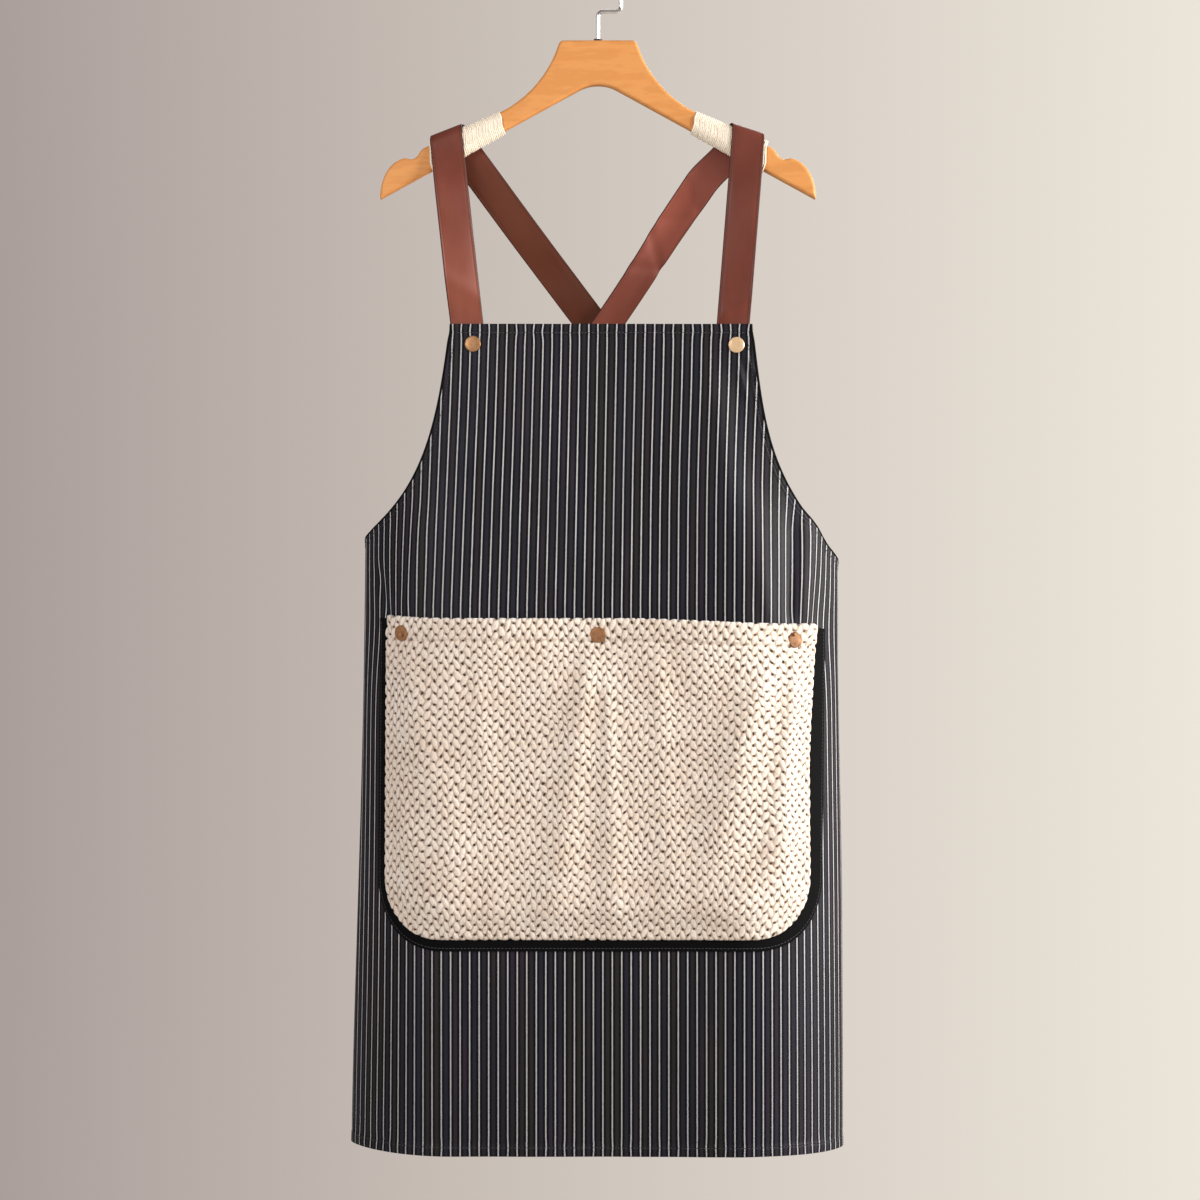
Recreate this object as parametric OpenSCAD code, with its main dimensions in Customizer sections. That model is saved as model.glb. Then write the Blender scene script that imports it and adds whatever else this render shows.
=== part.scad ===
// Cross-back work apron hanging from a flat wooden clothes hanger with a swivelling wire hook.
// Millimetres. +Z is up, the apron's front faces -Y, and the origin is where the rail
// touches the inside of the hook's crown.

/* [Hook] */
// Diameter of the hook's wire
wire_d = 4; // [3:0.1:5]
// Radius of the hook's round part, to the middle of the wire
hook_r = 23; // [18:1:30]
// Radius of the two small bends between the neck and the round part
hook_bend_r = 5; // [4:0.5:7]
// How far the round part goes past its left side
hook_tip_angle = 0; // [0:1:40]

/* [Hanger] */
// Thickness of the wooden hanger
wood_t = 12; // [11:1:16]
// Height of the hanger's flat top, below the rail
wood_top_z = -66; // [-80:1:-60]
// Half of the flat top's width
plateau_half_w = 38; // [32:1:44]
// Half of the hanger's span
hanger_half_w = 218.5; // [210:0.5:225]
// Slope of the arm's underside
underside_angle = 28.8; // [27:0.1:30]
// Radius of the arch under the hook
arch_r = 40; // [30:1:50]

/* [Grip wraps] */
// Where a wrap starts, measured sideways from the middle
wrap_inner_x = 94; // [90:1:100]
// Where a wrap ends
wrap_outer_x = 170; // [160:1:172]
// Half of the wrap's outer thickness
wrap_r = 9; // [8.8:0.1:10]

/* [Apron] */
// Length of the apron from the bib's top edge to the bottom hem
apron_len = 831; // [700:1:900]
// Half of the apron's flat width below the armholes
apron_half_w = 372; // [345:1:390]
// Half of the bib's width along its top edge
bib_half_w = 150; // [140:1:160]
// Depth of the armholes, measured down from the bib's top edge
armhole_depth = 244; // [220:1:270]
// Height of the bib's top edge, below the rail
bib_top_z = -351; // [-380:1:-340]
// Thickness of the apron's cloth
cloth_t = 1; // [0.6:0.1:1.2]
// Half of the stretch of cloth that hangs flat in front
flat_half_w = 142; // [138:1:150]
// Radius of the cloth where it curls round the sides
side_r = 120; // [110:1:130]
// Radius of the cloth where it turns behind
back_r = 30; // [26:1:36]

/* [Pocket] */
// Half of the fleece panel's flat width
fleece_half_w = 220; // [205:1:225]
// Top edge of the pocket, below the bib's top edge
pocket_top = 294; // [280:1:320]
// Height of the fleece panel
fleece_h = 320; // [280:1:340]
// Radius of the fleece panel's two lower corners
fleece_corner_r = 62; // [40:1:70]
// How far the dark backing shows past the fleece
backing_margin = 12; // [8:1:14]
// How far the pocket stands off the apron
pocket_gap = 8; // [7:0.5:10]
// Thickness of the fleece
fleece_t = 3.4; // [2.5:0.1:4]

/* [Straps] */
// Width of a strap
strap_w = 33; // [28:1:36]
// Thickness of a strap
strap_t = 1.6; // [1.2:0.1:1.8]
// Where the left and right straps meet the bib's top edge
strap_foot_x = [-132, 136];
// Where the left and right straps cross their arms
strap_crest_x = [-150, 149];
// Slope of the fold over the left and right arms
strap_fold_angle = [21.3, 18.5];

/* [Rivets] */
// Radius of a rivet's cap
cap_r = 8; // [7:0.5:9]
// Thickness of a rivet's cap
cap_t = 1.8; // [1.2:0.1:2.4]
// Radius of the disc on a rivet's back
post_head_r = 6; // [5:0.5:7]
// Radius of a rivet's hollow shank
shank_r = 2.4; // [2.2:0.1:3]

/* [Hidden] */

wire_r = wire_d / 2;
touch = 0.1;             // space between two layers of one body
strap_behind = 0.9;      // space between the bib and the straps' front runs
loose = 0.4;             // space between soft layers on the curled cloth
body_gap = 0.3;          // space between the straps and the wraps they hang on

// Hook: the round part's centre, the sideways jog and the neck.
hook_centre_z = wire_r - hook_r;
jog_z = hook_centre_z - 15.5;
neck_top_z = jog_z - hook_bend_r;
bush_len = 18;
bush_flange_t = 1.5;
bush_bore_r = wire_r + 0.05;
bush_r = 3.4;
cavity_r = 4;
cavity_top_z = wood_top_z - bush_len;
washer_t = 1.2;
collar_t = 5.5;
collar_top_z = cavity_top_z - 2 * touch - washer_t;
wire_end_z = collar_top_z - collar_t;

// Hanger outline.
flank_start = [plateau_half_w + 1.6, wood_top_z - 4.4];
flank_r = 116;
flank_steep = 72;
arm_slope = 25;
plateau_corner_r = 4;
web_h = 39.3;            // from the flat top down to where the two undersides would meet
notch_x = hanger_half_w - 48;

// Plan of the apron's cloth: flat, then two arcs, then flat again behind.
side_turn = 64;
side_end_u = flat_half_w + side_r * side_turn * PI / 180;
back_end_u = side_end_u + back_r * (180 - side_turn) * PI / 180;
side_end_x = flat_half_w + side_r * sin(side_turn);
side_end_d = side_r * (1 - cos(side_turn));
back_end_x = side_end_x - back_r * sin(side_turn);
back_end_d = side_end_d + back_r * (cos(side_turn) + 1);
cloth_y = -wrap_r - body_gap - strap_t - cloth_t / 2 - strap_behind;

// Armhole as a curve in the cloth's own flat plane: distance from the middle, distance down.
armhole = [
    [bib_half_w, 0],
    [bib_half_w + 16, armhole_depth * 0.49],
    [bib_half_w + 22, armhole_depth * 0.91],
    [apron_half_w, armhole_depth]
];
binding_w = 7;
binding_t = 2;

// Pocket.
backing_t = 0.8;
pocket_rivet_u = 198;
pocket_rivet_v = pocket_top + 16;
pinch_depth = 60;
seam_ease = 35;
corner_steps = 6.4;      // rows round a lower corner, the last a little before the bottom edge's end

// Straps.
strap_r = wrap_r + body_gap + strap_t / 2;
strap_overlap = 42;
strap_end = [206, cloth_y + back_end_d - cloth_t / 2 - loose - strap_t / 2, bib_top_z - armhole_depth - 33];
strap_bow = [3.2, -3.2]; // keeps the two straps apart where they cross
strap_lift = [0.5, 1.5]; // lifts each strap's fold clear of the wrap's slope
strap_reach = 150;       // how firmly each end of the back run keeps its direction
strap_end_rise = [0.56, -0.12, 0.82]; // direction from the sewn end, the first number towards the middle
wrap_slope = 22.5;
wrap_axis_drop = 6.8;    // from the wood's top edge down to the middle of the wrap's rounded top

function bezier(p, t) =
    pow(1 - t, 3) * p[0] + 3 * pow(1 - t, 2) * t * p[1] + 3 * (1 - t) * t * t * p[2] + pow(t, 3) * p[3];
function bezier_tangent(p, t) =
    3 * pow(1 - t, 2) * (p[1] - p[0]) + 6 * (1 - t) * t * (p[2] - p[1]) + 3 * t * t * (p[3] - p[2]);
function arc_points(c, r, a0, a1, n) =
    [for (i = [0:n]) c + r * [cos(a0 + (a1 - a0) * i / n), sin(a0 + (a1 - a0) * i / n)]];
function ease(t) = let (c = min(1, max(0, t))) c * c * (3 - 2 * c);
function mirror_points(points) = [for (i = [len(points) - 1:-1:0]) [-points[i][0], points[i][1]]];

// ---------- The cloth's surface ----------

// Turn of the cloth, 0 in front and 180 behind, at a distance from the middle along the cloth.
function cloth_turn(a) =
    a < flat_half_w ? 0 :
    a < side_end_u ? (a - flat_half_w) / side_r * 180 / PI :
    a < back_end_u ? side_turn + (a - side_end_u) / back_r * 180 / PI : 180;

function cloth_x(a) =
    a < flat_half_w ? a :
    a < side_end_u ? flat_half_w + side_r * sin(cloth_turn(a)) :
    a < back_end_u ? side_end_x + back_r * (sin(cloth_turn(a)) - sin(side_turn)) :
    back_end_x - (a - back_end_u);

function cloth_depth(a) =
    a < side_end_u ? side_r * (1 - cos(cloth_turn(a))) :
    a < back_end_u ? side_end_d + back_r * (cos(side_turn) - cos(cloth_turn(a))) : back_end_d;

// Point at u along the cloth, v down from the bib's top and off in front of its middle surface.
function cloth_point(u, v, off) =
    let (a = abs(u), side = u < 0 ? -1 : 1, turn = cloth_turn(a))
    [side * (cloth_x(a) + off * sin(turn)), cloth_y + cloth_depth(a) - off * cos(turn), bib_top_z - v];

// ---------- Building blocks ----------

// Closed solid between two grids of points, each rows by columns.
module skin(front, back) {
    rows = len(front);
    cols = len(front[0]);
    count = rows * cols;
    points = concat([for (row = front) each row], [for (row = back) each row]);
    quads = [
        for (j = [0:rows - 2], i = [0:cols - 2])
            let (a = j * cols + i)
            each [[a, a + cols, a + cols + 1, a + 1],
                  [count + a, count + a + 1, count + a + cols + 1, count + a + cols]],
        for (i = [0:cols - 2])
            let (a = (rows - 1) * cols + i)
            each [[i, i + 1, count + i + 1, count + i], [a, count + a, count + a + 1, a + 1]],
        for (j = [0:rows - 2])
            let (a = j * cols, b = j * cols + cols - 1)
            each [[a, count + a, count + a + cols, a + cols], [b, b + cols, count + b + cols, count + b]]
    ];
    faces = [for (q = quads) each [[q[0], q[1], q[2]], [q[0], q[2], q[3]]]];
    polyhedron(points = points, faces = faces, convexity = 6);
}

// Extrudes a front view along Y, centred on the hanger's middle plane.
module along_y(thickness) {
    translate([0, thickness / 2, 0])
        rotate([90, 0, 0])
            linear_extrude(height = thickness)
                children();
}

// Puts a rivet on the cloth, its axis square to the surface and its front outwards.
module on_cloth(u, v, off) {
    side = u < 0 ? -1 : 1;
    translate(cloth_point(u, v, off))
        rotate([0, 0, side * cloth_turn(abs(u))])
            rotate([90, 0, 0])
                children();
}

// ---------- Hook ----------

module wire_arc(radius, from, turn) {
    rotate([90, 0, 0])
        rotate([0, 0, from])
            rotate_extrude(angle = turn, $fn = 96)
                translate([radius, 0])
                    circle(r = wire_r, $fn = 32);
}

module wire_straight(from, length) {
    translate(from)
        cylinder(r = wire_r, h = length, $fn = 32);
}

module hook_wire() {
    color("gainsboro") {
        translate([0, 0, hook_centre_z])
            wire_arc(hook_r, 0, 180 + hook_tip_angle);
        translate([0, 0, hook_centre_z])
            rotate([0, -180 - hook_tip_angle, 0])
                translate([hook_r, 0, 0])
                    sphere(r = wire_r, $fn = 32);
        wire_straight([hook_r, 0, jog_z + hook_bend_r], hook_centre_z - jog_z - hook_bend_r);
        translate([hook_r - hook_bend_r, 0, jog_z + hook_bend_r])
            wire_arc(hook_bend_r, 270, 90);
        translate([hook_bend_r, 0, jog_z])
            rotate([0, 90, 0])
                cylinder(r = wire_r, h = hook_r - 2 * hook_bend_r, $fn = 32);
        translate([hook_bend_r, 0, neck_top_z])
            wire_arc(hook_bend_r, 90, 90);
        wire_straight([0, 0, wire_end_z], neck_top_z - wire_end_z);
    }
}

module retaining_collar() {
    color("silver")
        translate([0, 0, wire_end_z])
            difference() {
                cylinder(r = cavity_r - 0.3, h = collar_t, $fn = 48);
                translate([0, 0, -1])
                    cylinder(r = wire_r, h = collar_t + 2, $fn = 48);
            }
}

module thrust_washer() {
    color("silver")
        translate([0, 0, collar_top_z + touch])
            difference() {
                cylinder(r = cavity_r - 0.2, h = washer_t, $fn = 48);
                translate([0, 0, -1])
                    cylinder(r = bush_bore_r, h = washer_t + 2, $fn = 48);
            }
}

module swivel_bush() {
    color("dimgray")
        difference() {
            union() {
                translate([0, 0, cavity_top_z])
                    cylinder(r = bush_r, h = bush_len, $fn = 48);
                translate([0, 0, wood_top_z])
                    cylinder(r = bush_r + 1, h = bush_flange_t, $fn = 48);
            }
            translate([0, 0, cavity_top_z - 1])
                cylinder(r = bush_bore_r, h = bush_len + bush_flange_t + 2, $fn = 48);
        }
}

// ---------- Hanger ----------

// Height of the arm's underside at a distance from the middle.
function underside_z(x) = wood_top_z - web_h - x * tan(underside_angle);

function flank_points() =
    let (
        centre = flank_start + flank_r * [cos(90 - flank_steep), sin(90 - flank_steep)]
    )
    arc_points(centre, flank_r, 270 - flank_steep, 270 - arm_slope, 12);

function arm_top_z(x) =
    let (last = flank_points()[12])
    last[1] - (x - last[0]) * tan(arm_slope);

// Notch in the arm's top edge and the rounded nose after it, down to the tip.
function nose_points() =
    let (z = arm_top_z(notch_x))
    [
        [notch_x, z], [notch_x + 6, z - 3.5], [notch_x + 11, z - 10.5], [notch_x + 16, z - 13],
        [notch_x + 23, z - 12], [notch_x + 30, z - 14.5], [notch_x + 37, z - 20],
        [notch_x + 43, z - 29], [notch_x + 46.5, z - 39],
        [hanger_half_w, underside_z(hanger_half_w) + 3],
        [hanger_half_w - 1, underside_z(hanger_half_w - 1)]
    ];

function arch_points() =
    let (x = arch_r * sin(underside_angle), z = underside_z(x) - arch_r * cos(underside_angle))
    arc_points([0, z], arch_r, 90 - underside_angle, 90, 8);

function half_outline() = concat(
    arc_points([plateau_half_w - 2, wood_top_z - plateau_corner_r], plateau_corner_r, 90, 18, 5),
    flank_points(), nose_points(), arch_points()
);

module wood_outline() {
    polygon(concat(half_outline(), mirror_points(half_outline())));
}

module hanger_wood() {
    color("sandybrown")
        difference() {
            along_y(wood_t) wood_outline();
            translate([0, 0, cavity_top_z])
                cylinder(r = bush_r, h = bush_len + 1, $fn = 48);
            translate([0, 0, cavity_top_z - 60])
                cylinder(r = cavity_r, h = 60, $fn = 48);
        }
}

// Height of the middle of a wrap's rounded top.
function wrap_axis_z(x) = arm_top_z(wrap_inner_x) - wrap_axis_drop - (x - wrap_inner_x) * tan(wrap_slope);

// One wrap round the right arm: a rounded sleeve that the arm fills.
module grip_wrap() {
    color("antiquewhite")
        difference() {
            hull() {
                for (x = [wrap_inner_x + 3, wrap_outer_x + 1])
                    wrap_end(x, wrap_axis_z(x));
                for (x = [wrap_inner_x - 3, wrap_outer_x - 5])
                    wrap_end(x, underside_z(x) + wrap_axis_drop - 0.6);
            }
            along_y(wood_t) wood_outline();
        }
}

// Thin disc square to the arm, in which a wrap starts or ends.
module wrap_end(x, z) {
    translate([x, 0, z])
        rotate([0, 90 + arm_slope, 0])
            cylinder(r = wrap_r, h = 0.2, center = true, $fn = 32);
}

module grip_wrap_left() {
    mirror([1, 0, 0]) grip_wrap();
}

module grip_wrap_right() {
    grip_wrap();
}

// ---------- Apron ----------

panel_cols = 44;
bib_rows = 12;
skirt_rows = 8;

// Columns lie closer together towards the edges, where the cloth curls.
function column_share(i, cols) = let (s = 2 * i / cols - 1) 0.55 * s + 0.45 * sin(90 * s);

function panel_row(j) =
    j <= bib_rows ? bezier(armhole, j / bib_rows) :
    [apron_half_w, armhole_depth + (apron_len - armhole_depth) * (j - bib_rows) / skirt_rows];

function panel_grid(off) = [
    for (j = [0:bib_rows + skirt_rows])
        let (row = panel_row(j))
        [for (i = [0:panel_cols]) cloth_point(row[0] * column_share(i, panel_cols), row[1], off)]
];

module apron_panel() {
    color([0.13, 0.13, 0.16])
        skin(panel_grid(cloth_t / 2), panel_grid(-cloth_t / 2));
}

// Tape folded over the armhole's edge, on the left or right.
function binding_grid(side, off) = [
    for (j = [0:24])
        let (
            edge = bezier(armhole, j / 24),
            along = bezier_tangent(armhole, j / 24),
            inward = [-along[1], along[0]] / norm(along) * binding_w,
            points = [edge, edge + inward / 2, edge + inward]
        )
        [for (i = [0:2]) let (p = points[side < 0 ? i : 2 - i]) cloth_point(side * p[0], p[1], off)]
];

module armhole_binding(side) {
    color([0.07, 0.07, 0.08])
        skin(binding_grid(side, binding_t / 2), binding_grid(side, -binding_t / 2));
}

// ---------- Pocket ----------

// Distance from the pocket's stitched side and bottom edges, in the cloth's flat plane.
function seam_distance(u, v, half_w, bottom, r) =
    let (du = abs(u) - (half_w - r), dv = v - (bottom - r))
    du > 0 && dv > 0 ? r - norm([du, dv]) : min(half_w - abs(u), bottom - v);

// How far the pocket stands off the apron. Rivets pinch its mouth closed at three places.
function pocket_stand(u, v) =
    let (
        seam = ease(seam_distance(u, v, fleece_half_w, pocket_top + fleece_h, fleece_corner_r) / seam_ease),
        open = pow(sin(180 * u / pocket_rivet_u), 2),
        below = ease((v - pocket_rivet_v) / pinch_depth)
    )
    pocket_gap * seam * (open + (1 - open) * below);

function pocket_row(j, rows, half_w, top, bottom, r) =
    let (straight = rows - floor(corner_steps))
    j <= straight ? [half_w, top + (bottom - r - top) * j / straight] :
    let (a = 90 * (j - straight) / corner_steps)
    [half_w - r + r * cos(a), bottom - r + r * sin(a)];

function pocket_grid(half_w, top, bottom, r, off) = [
    for (j = [0:18])
        let (row = pocket_row(j, 18, half_w, top, bottom, r))
        [for (i = [0:28])
            let (u = row[0] * (2 * i / 28 - 1))
            cloth_point(u, row[1], off + cloth_t / 2 + touch + pocket_stand(u, row[1]))]
];

function backing_grid(off) = pocket_grid(
    fleece_half_w + backing_margin, pocket_top + 3, pocket_top + fleece_h + backing_margin,
    fleece_corner_r + backing_margin, off
);

function fleece_grid(off) = pocket_grid(
    fleece_half_w, pocket_top, pocket_top + fleece_h, fleece_corner_r, off
);

module pocket_backing() {
    color([0.05, 0.05, 0.06])
        skin(backing_grid(backing_t), backing_grid(0));
}

module pocket_fleece() {
    color("antiquewhite")
        skin(fleece_grid(backing_t + loose + fleece_t), fleece_grid(backing_t + loose));
}

// ---------- Straps ----------

// A strap is laid out flat on a sheet wrapped over the arm: a is measured along the fold's
// own line and b across it, and the sheet goes up the front, over a half circle and down the back.
function strap_side(k) = k == 0 ? -1 : 1;
function fold_axis(k) = [strap_side(k) * cos(strap_fold_angle[k]), -sin(strap_fold_angle[k])];
function fold_normal(k) = [strap_side(k) * sin(strap_fold_angle[k]), cos(strap_fold_angle[k])];

// Crest of the fold in the front view, at the middle of the half circle's axis.
function fold_centre(k) =
    let (x = strap_crest_x[k])
    [x, wrap_axis_z(abs(x)) + strap_lift[k]];

// Direction of the strap going up the front, and the same direction laid out flat.
function front_up(k) =
    let (d = [strap_crest_x[k] - strap_foot_x[k], fold_centre(k)[1] - bib_top_z])
    d / norm(d);
function flat_up(k) = [front_up(k) * fold_axis(k), front_up(k) * fold_normal(k)];

half_wrap = PI * strap_r / 2;

// Height over the fold's axis and depth at a distance b across the fold, 0 on the crest.
function fold_profile(b, r) =
    b < -half_wrap ? [b + half_wrap, -r] :
    b > half_wrap ? [half_wrap - b, r] :
    let (a = b / half_wrap * 90) [r * cos(a), r * sin(a)];

// Point of the strap at s along it from the crest, w across it, and off outwards.
function wrapped_point(k, s, w, off) =
    let (
        d = flat_up(k),
        a = s * d[0] + w * d[1],
        b = s * d[1] - w * d[0],
        p = fold_profile(b, strap_r + off),
        xz = fold_centre(k) + a * fold_axis(k) + p[0] * fold_normal(k)
    )
    [xz[0], p[1], xz[1]];

// Length from the bib's inside to the crest, and from the crest to where the back run starts.
front_len = [
    for (k = [0, 1])
        let (rise = [strap_crest_x[k] - strap_foot_x[k], fold_centre(k)[1] - bib_top_z])
        norm(rise) + half_wrap + strap_overlap
];
back_start = half_wrap + 12;

// Back run: from the arm's back to the opposite waist corner.
function back_direction(k) =
    let (d = flat_up(k), v = d[0] * fold_axis(k) - d[1] * fold_normal(k))
    [v[0], 0, v[1]];
function back_route(k) =
    let (start = wrapped_point(k, back_start, 0, 0), side = k == 0 ? 1 : -1,
         end = [side * strap_end[0], strap_end[1], strap_end[2]])
    [start, start + strap_reach * back_direction(k),
     end + strap_reach * [-side * strap_end_rise[0], strap_end_rise[1], strap_end_rise[2]], end];

function back_point(k, t, w, off) =
    let (
        route = back_route(k),
        p = bezier(route, t),
        d = bezier_tangent(route, t),
        side = k == 0 ? 1 : -1,
        across = [-d[2], 0, d[0]] / norm([d[0], d[2]]),
        normal = cross(across, d) / norm(cross(across, d)),
        bow = strap_bow[k] * ease(t / 0.3) * ease((1 - t) / 0.5)
    )
    p - side * w * across + off * normal + [0, bow, 0];

strap_cols = 3;
front_steps = 10;
wrap_steps = 22;
back_steps = 24;

function strap_row(k, point) =
    let (sense = k == 0 ? 1 : -1)
    [for (i = [0:strap_cols]) point(sense * strap_w * (i / strap_cols - 0.5))];

function strap_grid(k, off) =
    let (wrap_from = -half_wrap - 10)
    concat(
        [for (j = [0:front_steps - 1])
            let (s = -front_len[k] + (front_len[k] + wrap_from) * j / front_steps)
            strap_row(k, function(w) wrapped_point(k, s, w, off))],
        [for (j = [0:wrap_steps])
            let (s = wrap_from + (back_start - wrap_from) * j / wrap_steps)
            strap_row(k, function(w) wrapped_point(k, s, w, off))],
        [for (j = [1:back_steps])
            strap_row(k, function(w) back_point(k, j / back_steps, w, off))]
    );

module strap(k) {
    color([0.45, 0.24, 0.18])
        skin(strap_grid(k, strap_t / 2), strap_grid(k, -strap_t / 2));
}

// Square of stitches that holds a strap's end, on the cloth's outer face.
module strap_stitching(side) {
    stitch_w = 22;
    thread_t = 0.8;
    color("black")
        translate([side * strap_end[0], cloth_y + back_end_d + cloth_t / 2 + touch, strap_end[2] + 14])
            difference() {
                translate([-stitch_w / 2, 0, -stitch_w / 2])
                    cube([stitch_w, thread_t, stitch_w]);
                translate([-stitch_w / 2 + thread_t, -1, -stitch_w / 2 + thread_t])
                    cube([stitch_w - 2 * thread_t, thread_t + 2, stitch_w - 2 * thread_t]);
            }
}

// ---------- Rivets ----------

// Cap with a hollow shank that goes back through layers of a total thickness.
module rivet_cap(layers) {
    color("peru") {
        difference() {
            union() {
                cylinder(r = cap_r, h = cap_t, $fn = 64);
                translate([0, 0, -layers])
                    cylinder(r = shank_r, h = layers + cap_t / 2, $fn = 32);
            }
            translate([0, 0, -layers - 1])
                cylinder(r = shank_r - 0.9, h = layers + 1, $fn = 32);
        }
    }
}

module rivet_post(layers) {
    color("peru")
        translate([0, 0, -layers - touch - 1.2]) {
            cylinder(r = post_head_r, h = 1.2, $fn = 48);
            cylinder(r = shank_r - 0.95, h = layers + 0.6, $fn = 32);
        }
}

bib_rivet = [[-127, 20], [135, 21]];
bib_layers = cloth_t + strap_behind + strap_t + touch;
bib_cap_off = cloth_t / 2 + touch;
pocket_layers = 2 * touch + backing_t + loose + fleece_t + cloth_t;
pocket_cap_off = cloth_t / 2 + touch + backing_t + loose + fleece_t + touch;

module bib_cap(k) {
    on_cloth(bib_rivet[k][0], bib_rivet[k][1], bib_cap_off) rivet_cap(bib_layers + touch);
}

module bib_post(k) {
    on_cloth(bib_rivet[k][0], bib_rivet[k][1], bib_cap_off) rivet_post(bib_layers + touch);
}

module pocket_cap(k) {
    on_cloth(k * pocket_rivet_u, pocket_rivet_v, pocket_cap_off) rivet_cap(pocket_layers + touch);
}

module pocket_post(k) {
    on_cloth(k * pocket_rivet_u, pocket_rivet_v, pocket_cap_off) rivet_post(pocket_layers + touch);
}

hook_wire();
retaining_collar();
thrust_washer();
swivel_bush();
hanger_wood();
grip_wrap_left();
grip_wrap_right();
apron_panel();
armhole_binding(-1);  // armhole_binding_left
armhole_binding(1);  // armhole_binding_right
pocket_backing();
pocket_fleece();
strap(0);  // strap_left
strap(1);  // strap_right
strap_stitching(-1);  // strap_stitching_left
strap_stitching(1);  // strap_stitching_right
bib_cap(0);  // bib_rivet_cap_left
bib_cap(1);  // bib_rivet_cap_right
bib_post(0);  // bib_rivet_post_left
bib_post(1);  // bib_rivet_post_right
pocket_cap(-1);  // pocket_rivet_cap_left
pocket_cap(0);  // pocket_rivet_cap_centre
pocket_cap(1);  // pocket_rivet_cap_right
pocket_post(-1);  // pocket_rivet_post_left
pocket_post(0);  // pocket_rivet_post_centre
pocket_post(1);  // pocket_rivet_post_right
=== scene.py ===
"""Cross-back apron on a wooden hanger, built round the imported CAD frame. Metres, +Z up, front towards -Y."""
import math

import bmesh
import bpy
import numpy as np
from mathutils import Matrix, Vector
from mathutils.geometry import tessellate_polygon


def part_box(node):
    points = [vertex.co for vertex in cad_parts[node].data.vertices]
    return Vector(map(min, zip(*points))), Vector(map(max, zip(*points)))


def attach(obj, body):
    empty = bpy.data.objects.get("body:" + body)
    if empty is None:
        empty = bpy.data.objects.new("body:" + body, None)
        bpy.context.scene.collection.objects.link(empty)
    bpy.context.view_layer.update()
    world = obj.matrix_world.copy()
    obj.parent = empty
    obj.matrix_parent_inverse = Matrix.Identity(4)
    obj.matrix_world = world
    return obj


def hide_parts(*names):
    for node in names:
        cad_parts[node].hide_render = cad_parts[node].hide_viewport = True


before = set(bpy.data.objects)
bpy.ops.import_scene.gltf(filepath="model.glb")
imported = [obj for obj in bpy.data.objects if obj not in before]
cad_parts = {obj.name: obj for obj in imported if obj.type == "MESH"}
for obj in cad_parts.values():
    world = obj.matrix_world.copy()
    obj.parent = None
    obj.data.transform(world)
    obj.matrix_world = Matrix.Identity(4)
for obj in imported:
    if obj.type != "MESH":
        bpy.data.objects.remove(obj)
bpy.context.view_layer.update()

PI = math.pi

# ---------- Sizes: the cloth's plan, as the CAD model has it ----------

PANEL_LO, PANEL_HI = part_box("apron_panel")
CLOTH_T = 0.0009
CLOTH_Y = PANEL_LO.y + 0.0005
BIB_TOP_Z = PANEL_HI.z
APRON_LEN = PANEL_HI.z - PANEL_LO.z
FLAT_HALF_W = 0.142
SIDE_R = 0.120
SIDE_TURN = math.radians(64)
BACK_R = 0.030
APRON_HALF_W = 0.372
BIB_HALF_W = 0.150
ARMHOLE_DEPTH = 0.244
ARMHOLE = np.array([
    [BIB_HALF_W, 0],
    [BIB_HALF_W + 0.016, ARMHOLE_DEPTH * 0.49],
    [BIB_HALF_W + 0.022, ARMHOLE_DEPTH * 0.91],
    [APRON_HALF_W, ARMHOLE_DEPTH],
])
HEM_W = 0.010
BINDING_W = 0.007
STRIPE_PITCH = 0.0094
# A hem's stitches run this far inside its inner edge, and their thread lies this far off the cloth's middle.
SEAM_IN = 0.0012
THREAD_OFF = CLOTH_T / 2 + 0.0001

# ---------- Sizes: pocket, straps, wraps and rivets ----------

FLEECE_HALF_W = 0.220
FLEECE_H = 0.320
FLEECE_CORNER_R = 0.062
POCKET_TOP = 0.294
POCKET_LOW = POCKET_TOP + FLEECE_H
BACKING_MARGIN = 0.012
BACKING_REACH = 0.0118
BACKING_T = 0.0008
FLEECE_T = 0.0034
POCKET_GAP = 0.0064
POCKET_RIVET_U = 0.198
POCKET_RIVET_V = POCKET_TOP + 0.016
POCKET_HEM_V = POCKET_TOP + 0.0225
LAYER_GAP = 0.0002
BACKING_OFF = CLOTH_T / 2 + 0.0006
FLEECE_OFF = BACKING_OFF + BACKING_T + LAYER_GAP

STRAP_W = 0.033
STRAP_T = 0.0016
# Half of the strap's flat face, and where a line is pressed into it near each edge.
STRAP_FLAT = STRAP_W / 2 - 0.0012
STRAP_PRESS = 0.9 * STRAP_FLAT
STRAP_OVERLAP = 0.042
STRAP_FOLD_R = 0.0101
# The right strap's flat places start this far along, past the left one's.
NEXT_STRAP = 2.0
# Each strap: its x at the bib and over the arm, the slope of its fold, and how its free runs bow, twist,
# turn and lie aside, in metres and degrees. A crease is its place along the strap, slant, height and width.
STRAPS = (
    {"name": "strap_left", "side": -1, "foot_x": -0.1268, "crest_x": -0.1475, "fold": 21.3,
     "lift": 0.0005, "bow": 0.0110, "twist": -10, "face": 19,
     "aside": 0.0, "creases": ((-0.165, 0.8, 0.0011, 0.009),)},
    {"name": "strap_right", "side": 1, "foot_x": 0.1312, "crest_x": 0.1462, "fold": 18.5,
     "lift": 0.0015, "bow": 0.0020, "twist": 30, "face": -4,
     "aside": 0.0095, "creases": ((-0.186, 0.8, 0.0010, 0.008), (0.082, 0.7, 0.0011, 0.007),
                                  (0.112, -0.6, 0.0010, 0.006), (0.152, 0.8, 0.0012, 0.007),
                                  (0.172, -0.5, 0.0009, 0.006))},
)
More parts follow.
